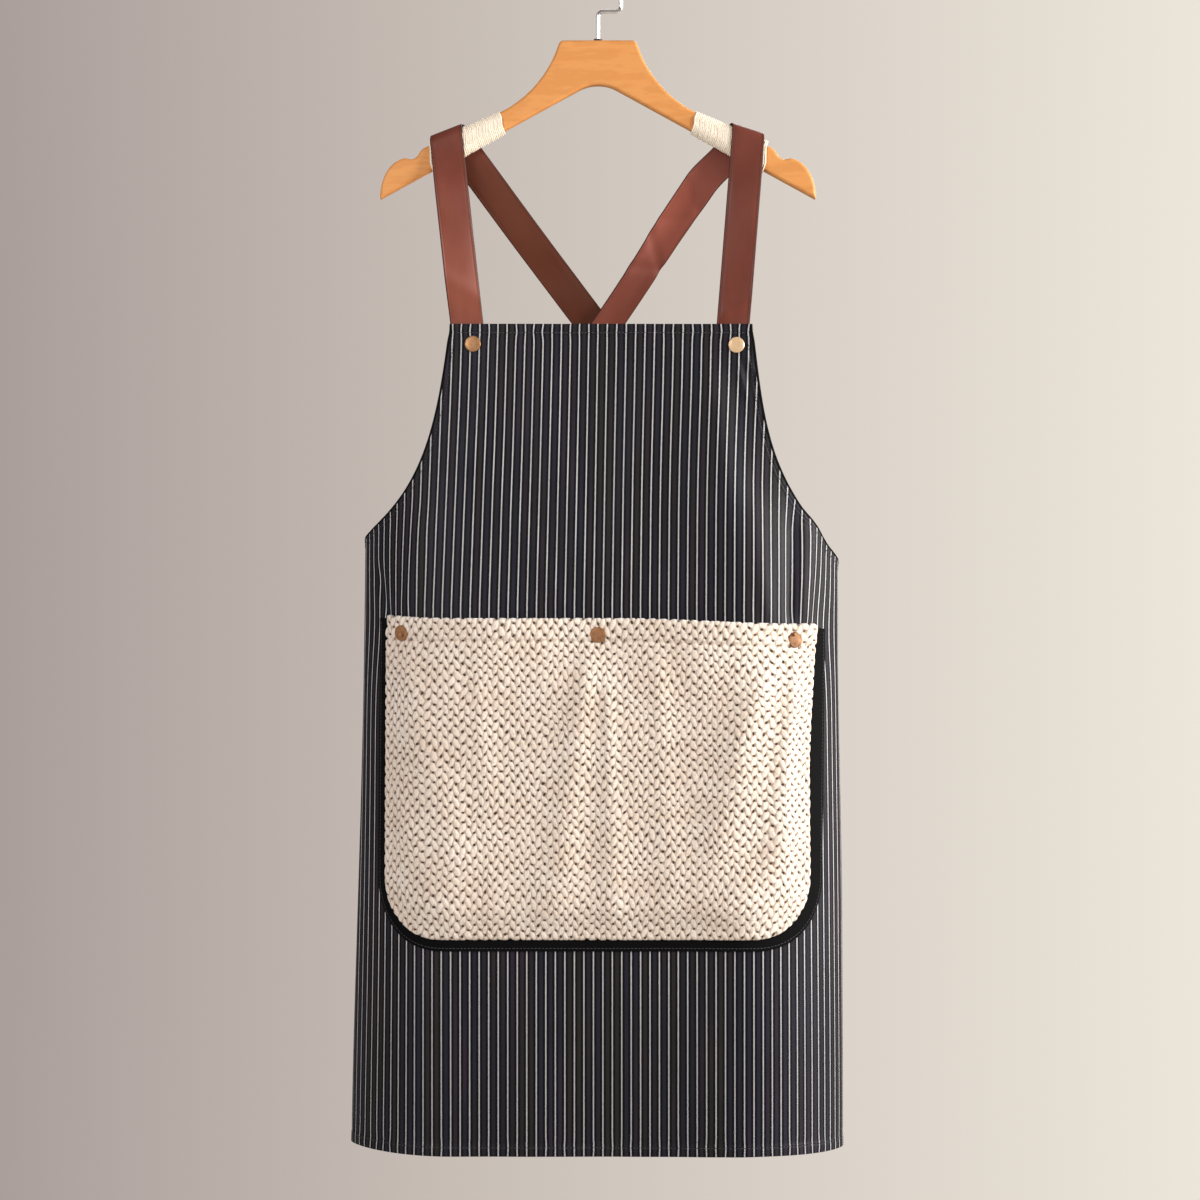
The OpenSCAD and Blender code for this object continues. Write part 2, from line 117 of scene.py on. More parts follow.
# Each strap ends inside the cloth's rear corner, which lies this far behind the cloth's front.
REAR_DEPTH = 0.1106
STRAP_END = (0.206, CLOTH_Y + 0.1088, BIB_TOP_Z - ARMHOLE_DEPTH - 0.033)

WOOD_T = 0.012
WOOD_TOP_Z = -0.066
PLATEAU_HALF_W = 0.038
HANGER_HALF_W = 0.2185
FLANK_R = 0.116
FLANK_CENTRE = (0.14992, -0.03455)
ARCH_R = 0.040
EDGE_R = 0.0030

WRAP_X = (0.094, 0.170)
WRAP_AXIS_Z = -0.14326
WRAP_SLOPE = math.radians(22.5)
ARM_SLOPE = math.radians(25)
UNDERSIDE_Z = -0.1053
UNDERSIDE_SLOPE = math.radians(28.8)
CORD_R = 0.00105

BIB_RIVETS = ((-0.127, 0.020), (0.135, 0.021))
RIVET_R = 0.008
RIVET_T = 0.0018

ROOM_LIGHT = 0.56
ROOM_SPREAD = 0.233
ROOM_TONES = ((0.400, 0.340, 0.320), (0.845, 0.786, 0.700))
CAMERA_PLACE = (0.002, -2.512, -0.6265)
CAMERA_LENS = 75.15
# Round soft lights: name, place, what each looks at, width, power and colour.
LIGHTS = (
    ("key", (2.35, -1.35, 0.3), (0.05, 0, -0.6), 0.8, 54, (1.0, 0.97, 0.94)),
    ("rim", (2.4, -0.15, -0.3), (0.15, 0, -0.7), 0.8, 84, (1.0, 0.98, 0.96)),
    ("fill", (-1.5, -2.2, 0.1), (0, 0, -0.6), 1.8, 50, (0.98, 0.98, 1.0)),
    ("back", (0.6, 1.9, 0.6), (0, 0, -0.6), 1.6, 30, (1.0, 1.0, 1.0)),
)


# ---------- Small helpers ----------

def ease(t):
    t = np.clip(t, 0, 1)
    return t * t * (3 - 2 * t)


def bump_at(x, centre, width):
    return np.exp(-((x - centre) / width) ** 2)


def bezier(p, t):
    t = np.asarray(t, float)[..., None]
    return (1 - t) ** 3 * p[0] + 3 * (1 - t) ** 2 * t * p[1] + 3 * (1 - t) * t * t * p[2] + t ** 3 * p[3]


def bezier_tangent(p, t):
    t = np.asarray(t, float)[..., None]
    return (3 * (1 - t) ** 2 * (p[1] - p[0]) + 6 * (1 - t) * t * (p[2] - p[1])
            + 3 * t * t * (p[3] - p[2]))


def wander(x, y, seed):
    """Smooth value between about -1 and 1 that changes over about one unit of x and y."""
    total = 0
    for k in range(5):
        a = seed * 1.7 + k * 2.399
        total = total + np.sin((np.cos(a) * x + np.sin(a) * y) * (1.1 + 0.37 * k) + seed * (k + 1.3))
    return total / 3.2


def unit(v):
    return v / np.linalg.norm(v, axis=-1, keepdims=True)


def join(*parts):
    """Coordinates side by side, as the last axis of one array."""
    return np.stack(parts, -1)


def distances(path):
    """How far each point of a path is from its start, along the path."""
    return np.concatenate([[0], np.cumsum(np.linalg.norm(np.diff(path, axis=0), axis=1))])


def sample(at, places, values, period=None):
    """Rows of values read at other places, straight between the places where they are given."""
    return join(*[np.interp(at, places, column, period=period) for column in values.T])


def add_object(name, data):
    thing = bpy.data.objects.new(name, data)
    bpy.context.scene.collection.objects.link(thing)
    return thing


def add_places(mesh, name, places):
    """Gives each point of a mesh a place in a named flat map."""
    layer = mesh.uv_layers.new(name=name)
    corners = np.empty(len(mesh.loops), dtype=np.int32)
    mesh.loops.foreach_get("vertex_index", corners)
    layer.data.foreach_set("uv", np.asarray(places, np.float32)[corners].ravel())


def new_piece(name, points, faces, body, material, replaces=(), flat=None):
    """Mesh object from points and faces, riding a body. flat gives each point a place on the cloth."""
    mesh = bpy.data.meshes.new(name)
    mesh.from_pydata([tuple(p) for p in np.asarray(points, float)], [], [tuple(f) for f in faces])
    if flat is not None:
        add_places(mesh, "Flat", flat)
    mesh.polygons.foreach_set("use_smooth", [True] * len(mesh.polygons))
    mesh.update()
    mesh.materials.append(material)
    piece = add_object(name, mesh)
    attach(piece, body)
    if replaces:
        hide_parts(*replaces)
    return piece


def grid_quads(rows, cols, start=0, wrap=False):
    """Quads of a grid of points, stored row by row. wrap joins the last column to the first."""
    j, i = np.meshgrid(np.arange(rows - 1), np.arange(cols if wrap else cols - 1), indexing="ij")
    a = j * cols + i
    b = j * cols + (i + 1) % cols
    return (join(a, b, b + cols, a + cols).reshape(-1, 4) + start).tolist()


def shell(front, back, front_flat):
    """Closed sheet between two grids of rows by columns: points, faces and flat places."""
    rows, cols = front.shape[:2]
    count = rows * cols
    faces = grid_quads(rows, cols)
    faces += [f[::-1] for f in grid_quads(rows, cols, count)]
    rim = list(range(cols)) + [j * cols + cols - 1 for j in range(1, rows)]
    rim += [(rows - 1) * cols + i for i in range(cols - 2, -1, -1)]
    rim += [j * cols for j in range(rows - 2, 0, -1)]
    for a, b in zip(rim, rim[1:] + rim[:1]):
        faces.append((b, a, a + count, b + count))
    points = np.concatenate([front.reshape(-1, 3), back.reshape(-1, 3)])
    flat = np.concatenate([front_flat.reshape(-1, 2)] * 2)
    return points, faces, flat


def tube(rings, caps=True):
    """Points and faces of a tube through rings of points, each rings[k] an array of n points."""
    rings = np.asarray(rings)
    rows, cols = rings.shape[:2]
    faces = grid_quads(rows, cols, wrap=True)
    if caps:
        faces.append(list(range(cols))[::-1])
        faces.append([(rows - 1) * cols + i for i in range(cols)])
    return rings.reshape(-1, 3), faces


# ---------- The cloth's surface ----------

SIDE_ARC = SIDE_R * SIDE_TURN
BACK_ARC = BACK_R * (PI - SIDE_TURN)


def flat_half_width(u, v):
    """Half of the stretch that hangs flat: the straps pull the sides in a little at the waist."""
    left = 0.0145 * (1 - ease((v - 0.12) / 0.85))
    right = 0.0065 * (1 - 0.6 * ease((v - 0.30) / 0.30))
    return FLAT_HALF_W - ease(v / 0.20) * np.where(u < 0, left, right)


def ridge(u, v, start, end, width, height):
    """A soft fold along a line in the cloth's flat plane: it widens and fades towards its ends."""
    a, b = np.array(start), np.array(end)
    along = b - a
    length = np.linalg.norm(along)
    t = ((u - a[0]) * along[0] + (v - a[1]) * along[1]) / length ** 2
    away = ((u - a[0]) * along[1] - (v - a[1]) * along[0]) / length
    w = width * (0.55 + 0.9 * np.clip(t, 0, 1.2))
    return height * np.exp(-(away / w) ** 2) * ease((t + 0.12) / 0.30) * ease((1.15 - t) / 0.35)


# Soft folds: start, end, width, height. The bib's spread upwards from the pocket's middle rivet, and the rest
# are at the pocket's upper corners and in the skirt.
CLOTH_FOLDS = (
    ((-0.004, 0.290), (-0.075, 0.015), 0.020, 0.0042),
    ((-0.020, 0.300), (-0.135, 0.110), 0.015, 0.0028),
    ((0.006, 0.290), (0.062, 0.030), 0.020, 0.0042),
    ((-0.130, 0.150), (-0.095, 0.010), 0.014, 0.0020),
    ((0.1960, 0.300), (0.2000, 0.185), 0.0075, -0.0050),
    ((0.2150, 0.300), (0.2230, 0.190), 0.0110, 0.0030),
    ((0.1700, 0.296), (0.1560, 0.170), 0.0110, 0.0026),
    ((-0.200, 0.300), (-0.176, 0.190), 0.010, 0.0020),
    ((-0.214, 0.312), (-0.238, 0.250), 0.006, -0.0022),
    ((0.118, 0.640), (0.104, 0.830), 0.011, 0.0018),
    ((-0.060, 0.650), (-0.078, 0.830), 0.013, 0.0012),
    ((0.030, 0.650), (0.042, 0.830), 0.014, 0.0012),
)
# Small puckers beside the bib's rivets: start, end, width, height.
PUCKERS = (
    ((0.1385, 0.030), (0.149, 0.058), 0.0022, -0.0014),
    ((0.1425, 0.026), (0.1535, 0.050), 0.0020, 0.0012),
    ((0.1355, 0.036), (0.1455, 0.074), 0.0024, 0.0011),
    ((-0.1225, 0.031), (-0.1180, 0.052), 0.0024, 0.0007),
)


def drape(u, v):
    """How far the hanging cloth stands forward of its smooth plan: a few soft folds."""
    skirt = ease((v - 0.12) / 0.25)
    hem = ease((v - 0.45) / 0.40)
    folds = 0.0010 * wander(u * 26, v * 4, 3) * (0.3 + 0.7 * skirt)
    folds = folds + 0.0018 * wander(u * 17 + 2, v * 2.2, 8) * hem
    swell_u = 0.098 + 0.16 * np.clip(v, 0, 0.25)
    swell = bump_at(u, swell_u, np.where(u < swell_u, 0.050, 0.022))
    folds = folds + 0.0090 * swell * ease((v - 0.014) / 0.06) * (1 - 0.80 * ease((v - 0.15) / 0.18))
    for fold in CLOTH_FOLDS + PUCKERS:
        folds = folds + ridge(u, v, *fold)
    return folds


def creep(u, v):
    """How far the hanging cloth has moved sideways and upwards from its plan."""
    aside = (0.0030 + 0.0005 * np.sign(u)) * np.clip(np.abs(u) / 0.15, 0, 1) * (1 - ease(v / 0.20))
    aside = aside + 0.0009 * wander(u * 90, v * 30, 14) * bump_at(v, HEM_W - 0.002, 0.006)
    aside = aside + 0.0005 * wander(u * 130, 3, 15) * bump_at(v, APRON_LEN - HEM_W, 0.006)
    rise = 0.0085 * ease((-u - 0.150) / 0.12) * bump_at(v, ARMHOLE_DEPTH - 0.010, 0.085)
    rise = rise - 0.0085 * ease((u - 0.220) / 0.032) * bump_at(v, ARMHOLE_DEPTH - 0.004, 0.055)
    rise = rise - 0.0045 * ease((u - 0.150) / 0.14) * ease((v - 0.55) / 0.25)
    rise = rise - 0.0055 * ease((u - 0.020) / 0.18) * bump_at(v, POCKET_TOP + 0.01, 0.10)
    return aside, rise


def thread_place(u, v):
    """Where the cloth's own threads lie: the bib's lean a little and the pocket's corners pull them in."""
    a, side = np.abs(u), np.where(u < 0, -1.0, 1.0)
    lean = (0.0045 + 0.0015 * np.clip(-u / 0.14, 0, 1)) * np.clip(v / 0.28, 0, 1)
    pinch = 0.0065 * bump_at(v, POCKET_TOP + 0.008, 0.050) * bump_at(a, 0.236, 0.032)
    return u * (1 + 0.02 * (1 - ease((v - 0.10) / 0.25))) + lean + side * pinch


def cloth_point(u, v, off):
    """Point at u along the cloth, v down from the bib's top and off in front of its middle."""
    u, v = np.broadcast_arrays(np.asarray(u, float), np.asarray(v, float))
    off = off + drape(u, v)
    aside, rise = creep(u, v)
    a, side = np.abs(u), np.where(u < 0, -1.0, 1.0)
    flat = flat_half_width(u, v)
    first = np.clip(a - flat, 0, SIDE_ARC) / SIDE_R
    second = np.clip(a - flat - SIDE_ARC, 0, BACK_ARC) / BACK_R
    rest = np.maximum(a - flat - SIDE_ARC - BACK_ARC, 0)
    turn = first + second
    x = (np.minimum(a, flat) + SIDE_R * np.sin(first)
         + BACK_R * (np.sin(SIDE_TURN + second) - math.sin(SIDE_TURN)) - rest)
    depth = (SIDE_R * (1 - np.cos(first))
             + BACK_R * (math.cos(SIDE_TURN) - np.cos(SIDE_TURN + second)))
    return join(side * (x + off * np.sin(turn)) + aside, CLOTH_Y + depth - off * np.cos(turn),
                BIB_TOP_Z - v + rise)


def cloth_frame(u, v, off):
    """Point on the cloth with its directions along u, along v and outwards."""
    step = 0.002
    p = cloth_point(u, v, off)
    along = unit(cloth_point(u + step, v, off) - cloth_point(u - step, v, off))
    down = unit(cloth_point(u, v + step, off) - cloth_point(u, v - step, off))
    return p, along, down, unit(np.cross(along, down) * -1)


def armhole_half_width(v):
    """Half of the cloth's flat width at a distance down from the bib's top."""
    curve = bezier(ARMHOLE, np.linspace(0, 1, 400))
    return np.where(v < ARMHOLE_DEPTH, np.interp(v, curve[:, 1], curve[:, 0]), APRON_HALF_W)


def armhole_distance(u, v):
    """Distance from the armhole's edge in the cloth's flat plane."""
    curve = bezier(ARMHOLE, np.linspace(0, 1, 240))
    nearest = np.full(u.shape, np.inf)
    for cu, cv in curve:
        nearest = np.minimum(nearest, np.hypot(np.abs(u) - cu, v - cv))
    return nearest


def hem_relief(distance, width=HEM_W):
    """Raises a turned hem and sinks its line of stitches."""
    raised, sunk = 0.0005, 0.00045
    return (raised * (1 - ease((distance - width) / 0.0012))
            - sunk * bump_at(distance, width - SEAM_IN, 0.0008))


def graded(stops, step):
    """Increasing places from stop to stop, about a step apart, with the stops kept."""
    places = [stops[0]]
    for a, b in zip(stops, stops[1:]):
        count = max(1, math.ceil((b - a) / step))
        places += [a + (b - a) * (i + 1) / count for i in range(count)]
    return np.array(places)


def hem_stops():
    """Distances from an edge that draw its hem and the line of stitches in it."""
    round_seam = (-0.0032, -0.0022, -0.0012, -0.0002, 0.0006, 0.0014, 0.004)
    return [0, 0.0006, 0.002] + [HEM_W + d for d in round_seam]


def make_panel():
    """The striped cloth in one piece, with turned hems at the bib, the sides and the bottom."""
    armhole_v = bezier(ARMHOLE, np.linspace(0, 1, 75))[:, 1]
    bib_v = np.union1d(np.round(armhole_v, 6), np.round(hem_stops(), 6))
    bib_w = armhole_half_width(bib_v)
    bib_w[-1] = APRON_HALF_W
    skirt_v = graded([ARMHOLE_DEPTH] + [APRON_LEN - stop for stop in hem_stops()[::-1]], 0.006)[1:]
    v = np.concatenate([bib_v, skirt_v])
    half_w = np.concatenate([bib_w, np.full(len(skirt_v), APRON_HALF_W)])
    # Columns are closer at the sides, where the cloth curls, and closest in the side hems.
    share = np.linspace(-1, 1, 201)
    share = 0.62 * share + 0.38 * np.sin(share * PI / 2)
    edge = 1 - np.array([0, 0.0006, 0.002, 0.006, 0.0078, 0.0088, 0.0098, 0.0108, 0.014]) / APRON_HALF_W
    share = np.union1d(np.round(share, 5), np.round(np.concatenate([edge, -edge]), 5))
    u = half_w[:, None] * share[None, :]
    v_grid = np.broadcast_to(v[:, None], u.shape)
    relief = hem_relief(v_grid) + hem_relief(APRON_LEN - v_grid)
    relief = relief + np.where(v_grid > ARMHOLE_DEPTH, hem_relief(APRON_HALF_W - np.abs(u)), 0)
    relief = relief + np.where(v_grid > HEM_W, hem_relief(armhole_distance(u, v_grid), BINDING_W), 0)
    front = cloth_point(u, v_grid, CLOTH_T / 2 + relief)
    back = cloth_point(u, v_grid, -CLOTH_T / 2 - np.maximum(relief, 0))
    points, faces, flat = shell(front, back, join(thread_place(u, v_grid), v_grid))
    piece = new_piece("apron_cloth", points, faces, "apron", striped_cloth(),
                      ["apron_panel"], flat)


# ---------- Stitches ----------

# One stitch: places along it, its thread's thickness there and how far it stands out, as shares.
STITCH_ALONG = np.array([-0.5, -0.36, 0, 0.36, 0.5])
STITCH_FULL = np.array([0.25, 0.85, 1, 0.85, 0.25])
STITCH_OUT = np.array([-1.0, -0.1, 0.35, -0.1, -1.0])
THREAD_R = 0.00032


def make_stitches(name, runs, material, replaces=(), length=0.0028, gap=0.0009):
    """Rows of separate thread stitches. Each run is (points, outward directions) along a seam."""
    points, faces = [], []
    around = np.linspace(0, 2 * PI, 6, endpoint=False)[None, :, None]
    for path, outward in runs:
        dist = distances(path)
        count = int(dist[-1] / (length + gap))
        for k in range(count):
            s = (k + 0.5) * dist[-1] / count
            mid = sample(s + STITCH_ALONG * length, dist, path)
            normal = unit(sample(s, dist, outward))
            across = unit(np.cross(unit(mid[-1] - mid[0]), normal))
            mid = mid + normal * (STITCH_OUT * THREAD_R)[:, None]
            rings = (mid[:, None, :] + (STITCH_FULL * THREAD_R)[:, None, None]
                     * (np.cos(around) * across + np.sin(around) * normal))
            stitch, sides = tube(rings)
            start = len(points) * len(stitch)
            points.append(stitch)
            faces += [[i + start for i in face] for face in sides]
    new_piece(name, np.concatenate(points), faces, "apron", material, replaces)


def cloth_run(flat_path, off):
    """Seam along places (u, v) on the cloth: points and outward directions."""
    p, _, _, outward = cloth_frame(flat_path[:, 0], flat_path[:, 1], off)
    return p, outward


def line(a, b, n=120):
    t = np.linspace(0, 1, n)[:, None]
    return np.array(a) * (1 - t) + np.array(b) * t


def make_hem_stitches(thread):
    seam = HEM_W - SEAM_IN
    bib_side = BIB_HALF_W - 0.006
    top = cloth_run(line((-bib_side, seam), (bib_side, seam)), THREAD_OFF)
    make_stitches("bib_hem_stitches", [top], thread)
    low, side = APRON_LEN - seam, APRON_HALF_W - seam
    runs = [cloth_run(line((-side, low), (side, low), 400), THREAD_OFF)]
    for s in (-side, side):
        runs.append(cloth_run(line((s, ARMHOLE_DEPTH + 0.006), (s, low), 300), THREAD_OFF))
    make_stitches("skirt_hem_stitches", runs, thread)


# ---------- Armhole bindings ----------

# The tape's cross-section in millimetres: how far in from the armhole's edge, and how far forward.
TAPE_PROFILE = np.array([
    (1.9, 0.55), (1.8, 1.15), (1.2, 1.3), (0.4, 1.25), (-0.2, 1.0), (-0.6, 0.5), (-0.75, 0.0), (-0.6, -0.6),
    (-0.1, -1.1), (1.0, -1.5), (3.0, -1.55), (6.2, -1.5), (6.9, -1.35), (7.0, -0.95),
]) * 0.001


def make_binding(side, name, material, thread):
    """Tape that lines the armhole's hem inside and shows as a thin dark edge in front."""
    t = np.linspace(0, 1, 150)
    edge = bezier(ARMHOLE, t)
    along = unit(bezier_tangent(ARMHOLE, t))
    inward = join(-along[:, 1], along[:, 0])
    profile = TAPE_PROFILE[::side]
    rings, flats = [], []
    for k in range(len(t)):
        places = edge[k] + inward[k] * profile[:, :1]
        pucker = 1 + 0.10 * math.sin(k * 1.9) + 0.07 * math.sin(k * 0.83)
        rings.append(cloth_point(side * places[:, 0], places[:, 1], profile[:, 1] * pucker))
        flats.append([(t[k] * 0.36, i * 0.001) for i in range(len(profile))])
    points, faces = tube(rings)
    new_piece(name, points, faces, "apron", material, [name], np.concatenate(flats))
    seam = edge[8:] + inward[8:] * (BINDING_W - SEAM_IN)
    seam[:, 0] *= side
    make_stitches(name + "_stitches", [cloth_run(seam, THREAD_OFF)], thread)


# ---------- Pocket ----------

def fleece_edge(u, v):
    """Distance from the fleece's sewn sides and bottom, in the cloth's flat plane."""
    du, dv = np.abs(u) - (FLEECE_HALF_W - FLEECE_CORNER_R), v - (POCKET_LOW - FLEECE_CORNER_R)
    corner = FLEECE_CORNER_R - np.hypot(np.maximum(du, 0), np.maximum(dv, 0))
    straight = np.minimum(FLEECE_HALF_W - np.abs(u), POCKET_LOW - v)
    return np.where((du > 0) & (dv > 0), corner, straight)


def pocket_stand(u, v):
    """How far the pocket stands off the apron. The rivets pinch its mouth in three places."""
    opening = np.sin(PI * u / POCKET_RIVET_U) ** 2
    below = ease((v - POCKET_RIVET_V) / 0.060)
    return POCKET_GAP * ease(fleece_edge(u, v) / 0.035) * (opening + (1 - opening) * below)


def rounded_grid(half_w, top, bottom, r, cols, rows):
    """Flat places of a panel with two round lower corners, as rows by columns."""
    bend = np.linspace(0, PI / 2, max(8, rows // 6))
    straight = np.linspace(top, bottom - r, rows - len(bend) + 1)
    v = np.concatenate([straight, bottom - r + r * np.sin(bend[1:])])
    w = np.concatenate([np.full(len(straight), half_w), half_w - r + r * np.cos(bend[1:])])
    w[-1] = half_w - r * 0.93
    share = np.linspace(-1, 1, cols)
    return w[:, None] * share[None, :], np.broadcast_to(v[:, None], (len(v), cols))


def backing_reach(u, v):
    """The backing is cut a little wider on the right, most of all at the top."""
    wider = 1 - 0.66 * ease((v - POCKET_TOP) / FLEECE_H)
    return u + BACKING_REACH * wider * ease((u - 0.12) / 0.10)


def make_backing(material, thread):
    """The pocket's dark backing, which shows as an edge round the fleece, and its seam to the apron."""
    top = POCKET_TOP + 0.003
    half_w, low = FLEECE_HALF_W + BACKING_MARGIN, POCKET_LOW + BACKING_MARGIN
    u, v = rounded_grid(half_w, top, low, FLEECE_CORNER_R + BACKING_MARGIN, 110, 84)
    u = backing_reach(u, v)
    off = BACKING_OFF + pocket_stand(u, v)
    front, back = cloth_point(u, v, off + BACKING_T), cloth_point(u, v, off)
    points, faces, flat = shell(front, back, join(u, v))
    piece = new_piece("pocket_backing_cloth", points, faces, "apron", material,
                      ["pocket_backing"], flat)
    seam = pocket_outline_run(BACKING_MARGIN - 0.003, BACKING_T + 0.0007)
    make_stitches("pocket_seam_stitches", [seam], thread)


def pocket_outline_run(margin, lift):
    """Run along the pocket's sides and bottom, a margin outside the fleece's edge."""
    r = FLEECE_CORNER_R + margin
    w, bottom, top = FLEECE_HALF_W + margin, POCKET_LOW + margin, POCKET_TOP + 0.006
    bend = np.linspace(0, PI / 2, 40)
    left = join(-(w - r) - r * np.cos(bend), bottom - r + r * np.sin(bend))
    right = left[::-1] * (-1, 1)
    path = np.concatenate([line((-w, top), left[0], 80)[:-1], left, line(left[-1], right[0], 120)[1:-1],
                           right, line(right[-1], (w, top), 80)[1:]])
    path[:, 0] = backing_reach(path[:, 0], path[:, 1])
    return cloth_run(path, CLOTH_T / 2 + pocket_stand(path[:, 0], path[:, 1]) + lift)


KNIT_W, KNIT_H = 0.00535, 0.0113
KNIT_LEAN = 0.62
KNIT_HALF_W, KNIT_HALF_H = 0.60, 0.58
KNIT_ROUND = 0.30
HOLE_HALF_W, HOLE_HALF_H = 0.25, 0.13
# Soft folds that the fleece's rivets and its sewn corner pull: start, end, width, height.
FLEECE_FOLDS = (
    ((-0.190, 0.322), (-0.140, 0.580), 0.020, 0.0026),
    ((-0.008, 0.324), (-0.046, 0.606), 0.016, 0.0040),
    ((0.010, 0.360), (0.016, 0.610), 0.010, 0.0026),
    ((0.060, 0.330), (0.075, 0.600), 0.014, 0.0022),
    ((0.170, 0.330), (0.098, 0.590), 0.018, 0.0036),
    ((0.194, 0.324), (0.176, 0.560), 0.010, 0.0038),
    ((0.205, 0.490), (0.115, 0.600), 0.014, 0.0022),
    ((-0.120, 0.330), (-0.100, 0.600), 0.012, 0.0014),
    ((-0.215, 0.430), (-0.150, 0.600), 0.012, 0.0014),
)


def knit_place(u, v):
    """The knit's own coordinates, in columns and stitches, a little uneven."""
    x = (u + 0.0016 * wander(u * 75, v * 75, 5) + 0.0004 * wander(u * 420, v * 420, 23)) / KNIT_W
    y = (v + 0.0020 * wander(u * 65, v * 65, 11) + 0.0007 * wander(u * 400, v * 400, 29)) / KNIT_H
    return x, y


def knit_height(x, y):
    """Flat-topped stitches that lean left and right by turns, with creases and small holes between them."""
    best, hole = np.zeros_like(x), np.zeros_like(x)
    for k in (np.floor(x), np.floor(x) + 1):
        across, odd = x - k, np.mod(k, 2)
        along = y + 0.5 * odd
        t = along - np.floor(along + 0.5)
        hole = np.maximum(hole, 1 - (across / HOLE_HALF_W) ** 2 - ((0.5 - np.abs(t)) / HOLE_HALF_H) ** 2)
        across = across + (2 * odd - 1) * KNIT_LEAN * t
        best = np.maximum(best, 1 - (across / KNIT_HALF_W) ** 2 - (t / KNIT_HALF_H) ** 2)
    return best ** KNIT_ROUND - 0.75 * hole


def fleece_stand(u, v):
    """How far the fleece bulges past its backing, and how hard the rivets press it flat."""
    inside = ease(fleece_edge(u, v) / 0.030)
    folds = sum(ridge(u, v, *fold) for fold in FLEECE_FOLDS) * inside
    folds = folds + 0.0006 * wander(u * 55, v * 40, 31) * inside
    press = sum(bump_at(np.hypot(u - k * POCKET_RIVET_U, v - POCKET_RIVET_V), 0, 0.0105) for k in (-1, 0, 1))
    return folds * (1 - press), press


def make_fleece(material, thread):
    """The fleece with every stitch raised, round edges and a turned top, closed behind by a coarse grid."""
    u, v = rounded_grid(FLEECE_HALF_W, POCKET_TOP, POCKET_LOW, FLEECE_CORNER_R, 361, 262)
    edge = np.minimum(fleece_edge(u, v), v - POCKET_TOP)
    knit_places = knit_place(u, v)
    knit = knit_height(*knit_places)
    hem = ease((0.0215 - (v - POCKET_TOP)) / 0.003)
    seam = bump_at(v, POCKET_HEM_V, 0.0016)
    round_edge = np.sqrt(np.clip(1 - (1 - np.clip(edge / 0.0045, 0, 1)) ** 2, 0, 1))
    folds, press = fleece_stand(u, v)
    relief = 0.0019 * (knit - 0.80) * (0.35 + 0.65 * round_edge) * (1 - 0.5 * press)
    height = (FLEECE_T + 0.0008 * hem - 0.0009 * press + relief) * round_edge - 0.0014 * seam + folds
    scallop = 0.0012 * (knit - 0.4) * (1 - ease(edge / 0.006))
    uu = u + scallop * u / FLEECE_HALF_W - 0.0025 * ease(u / 0.22) * ease((v - POCKET_TOP) / 0.05)
    uu = uu + 0.0086 * ease((u - 0.14) / 0.08) * (1 - ease((v - POCKET_TOP) / 0.16))
    vv = v + scallop * (v - POCKET_TOP - FLEECE_H / 2) / (FLEECE_H / 2)
    front = cloth_point(uu, vv, FLEECE_OFF + pocket_stand(u, v) + height)
    piece = new_piece("pocket_fleece_cloth", front.reshape(-1, 3), grid_quads(*u.shape), "apron", material,
                      ["pocket_fleece"], join(uu, vv).reshape(-1, 2))
    add_places(piece.data, "Knit", join(*knit_places).reshape(-1, 2))
    close_fleece(piece.data)
    end = FLEECE_HALF_W - 0.004
    path = line((-end, POCKET_HEM_V), (end, POCKET_HEM_V), 300)
    u, v = path[:, 0], path[:, 1]
    off = FLEECE_OFF + FLEECE_T - 0.0013 + pocket_stand(u, v) + fleece_stand(u, v)[0]
    make_stitches("pocket_hem_stitches", [cloth_run(path, off)], thread, length=0.0042, gap=0.0016)


def close_fleece(mesh):
    """Closes the fleece behind with a coarse grid and a bridge from it to the fine front's rim."""
    cols, rows, inset = 41, 31, 0.0015
    u, v = rounded_grid(FLEECE_HALF_W - inset, POCKET_TOP + inset, POCKET_LOW - inset, FLEECE_CORNER_R,
                        cols, rows)
    off = FLEECE_OFF + pocket_stand(u, v) + np.minimum(fleece_stand(u, v)[0], 0.0030)
    bm = bmesh.new()
    bm.from_mesh(mesh)
    made = [bm.verts.new(p) for p in cloth_point(u, v, off).reshape(-1, 3)]
    flat_layer, knit_layer = [bm.loops.layers.uv[name] for name in ("Flat", "Knit")]
    for quad in grid_quads(rows, cols):
        face = bm.faces.new([made[i] for i in quad[::-1]])
        for loop, i in zip(face.loops, quad[::-1]):
            loop[flat_layer].uv = (u.flat[i], v.flat[i])
            loop[knit_layer].uv = (u.flat[i] / KNIT_W, v.flat[i] / KNIT_H)
    bmesh.ops.bridge_loops(bm, edges=[edge for edge in bm.edges if edge.is_boundary])
    for face in bm.faces:
        face.smooth = True
    bmesh.ops.recalc_face_normals(bm, faces=bm.faces)
    bm.to_mesh(mesh)
    bm.free()


# ---------- Straps ----------

HALF_WRAP = PI * STRAP_FOLD_R / 2
BACK_START = HALF_WRAP + 0.012


def wrap_axis_z(x):
    return WRAP_AXIS_Z - (x - WRAP_X[0]) * math.tan(WRAP_SLOPE)


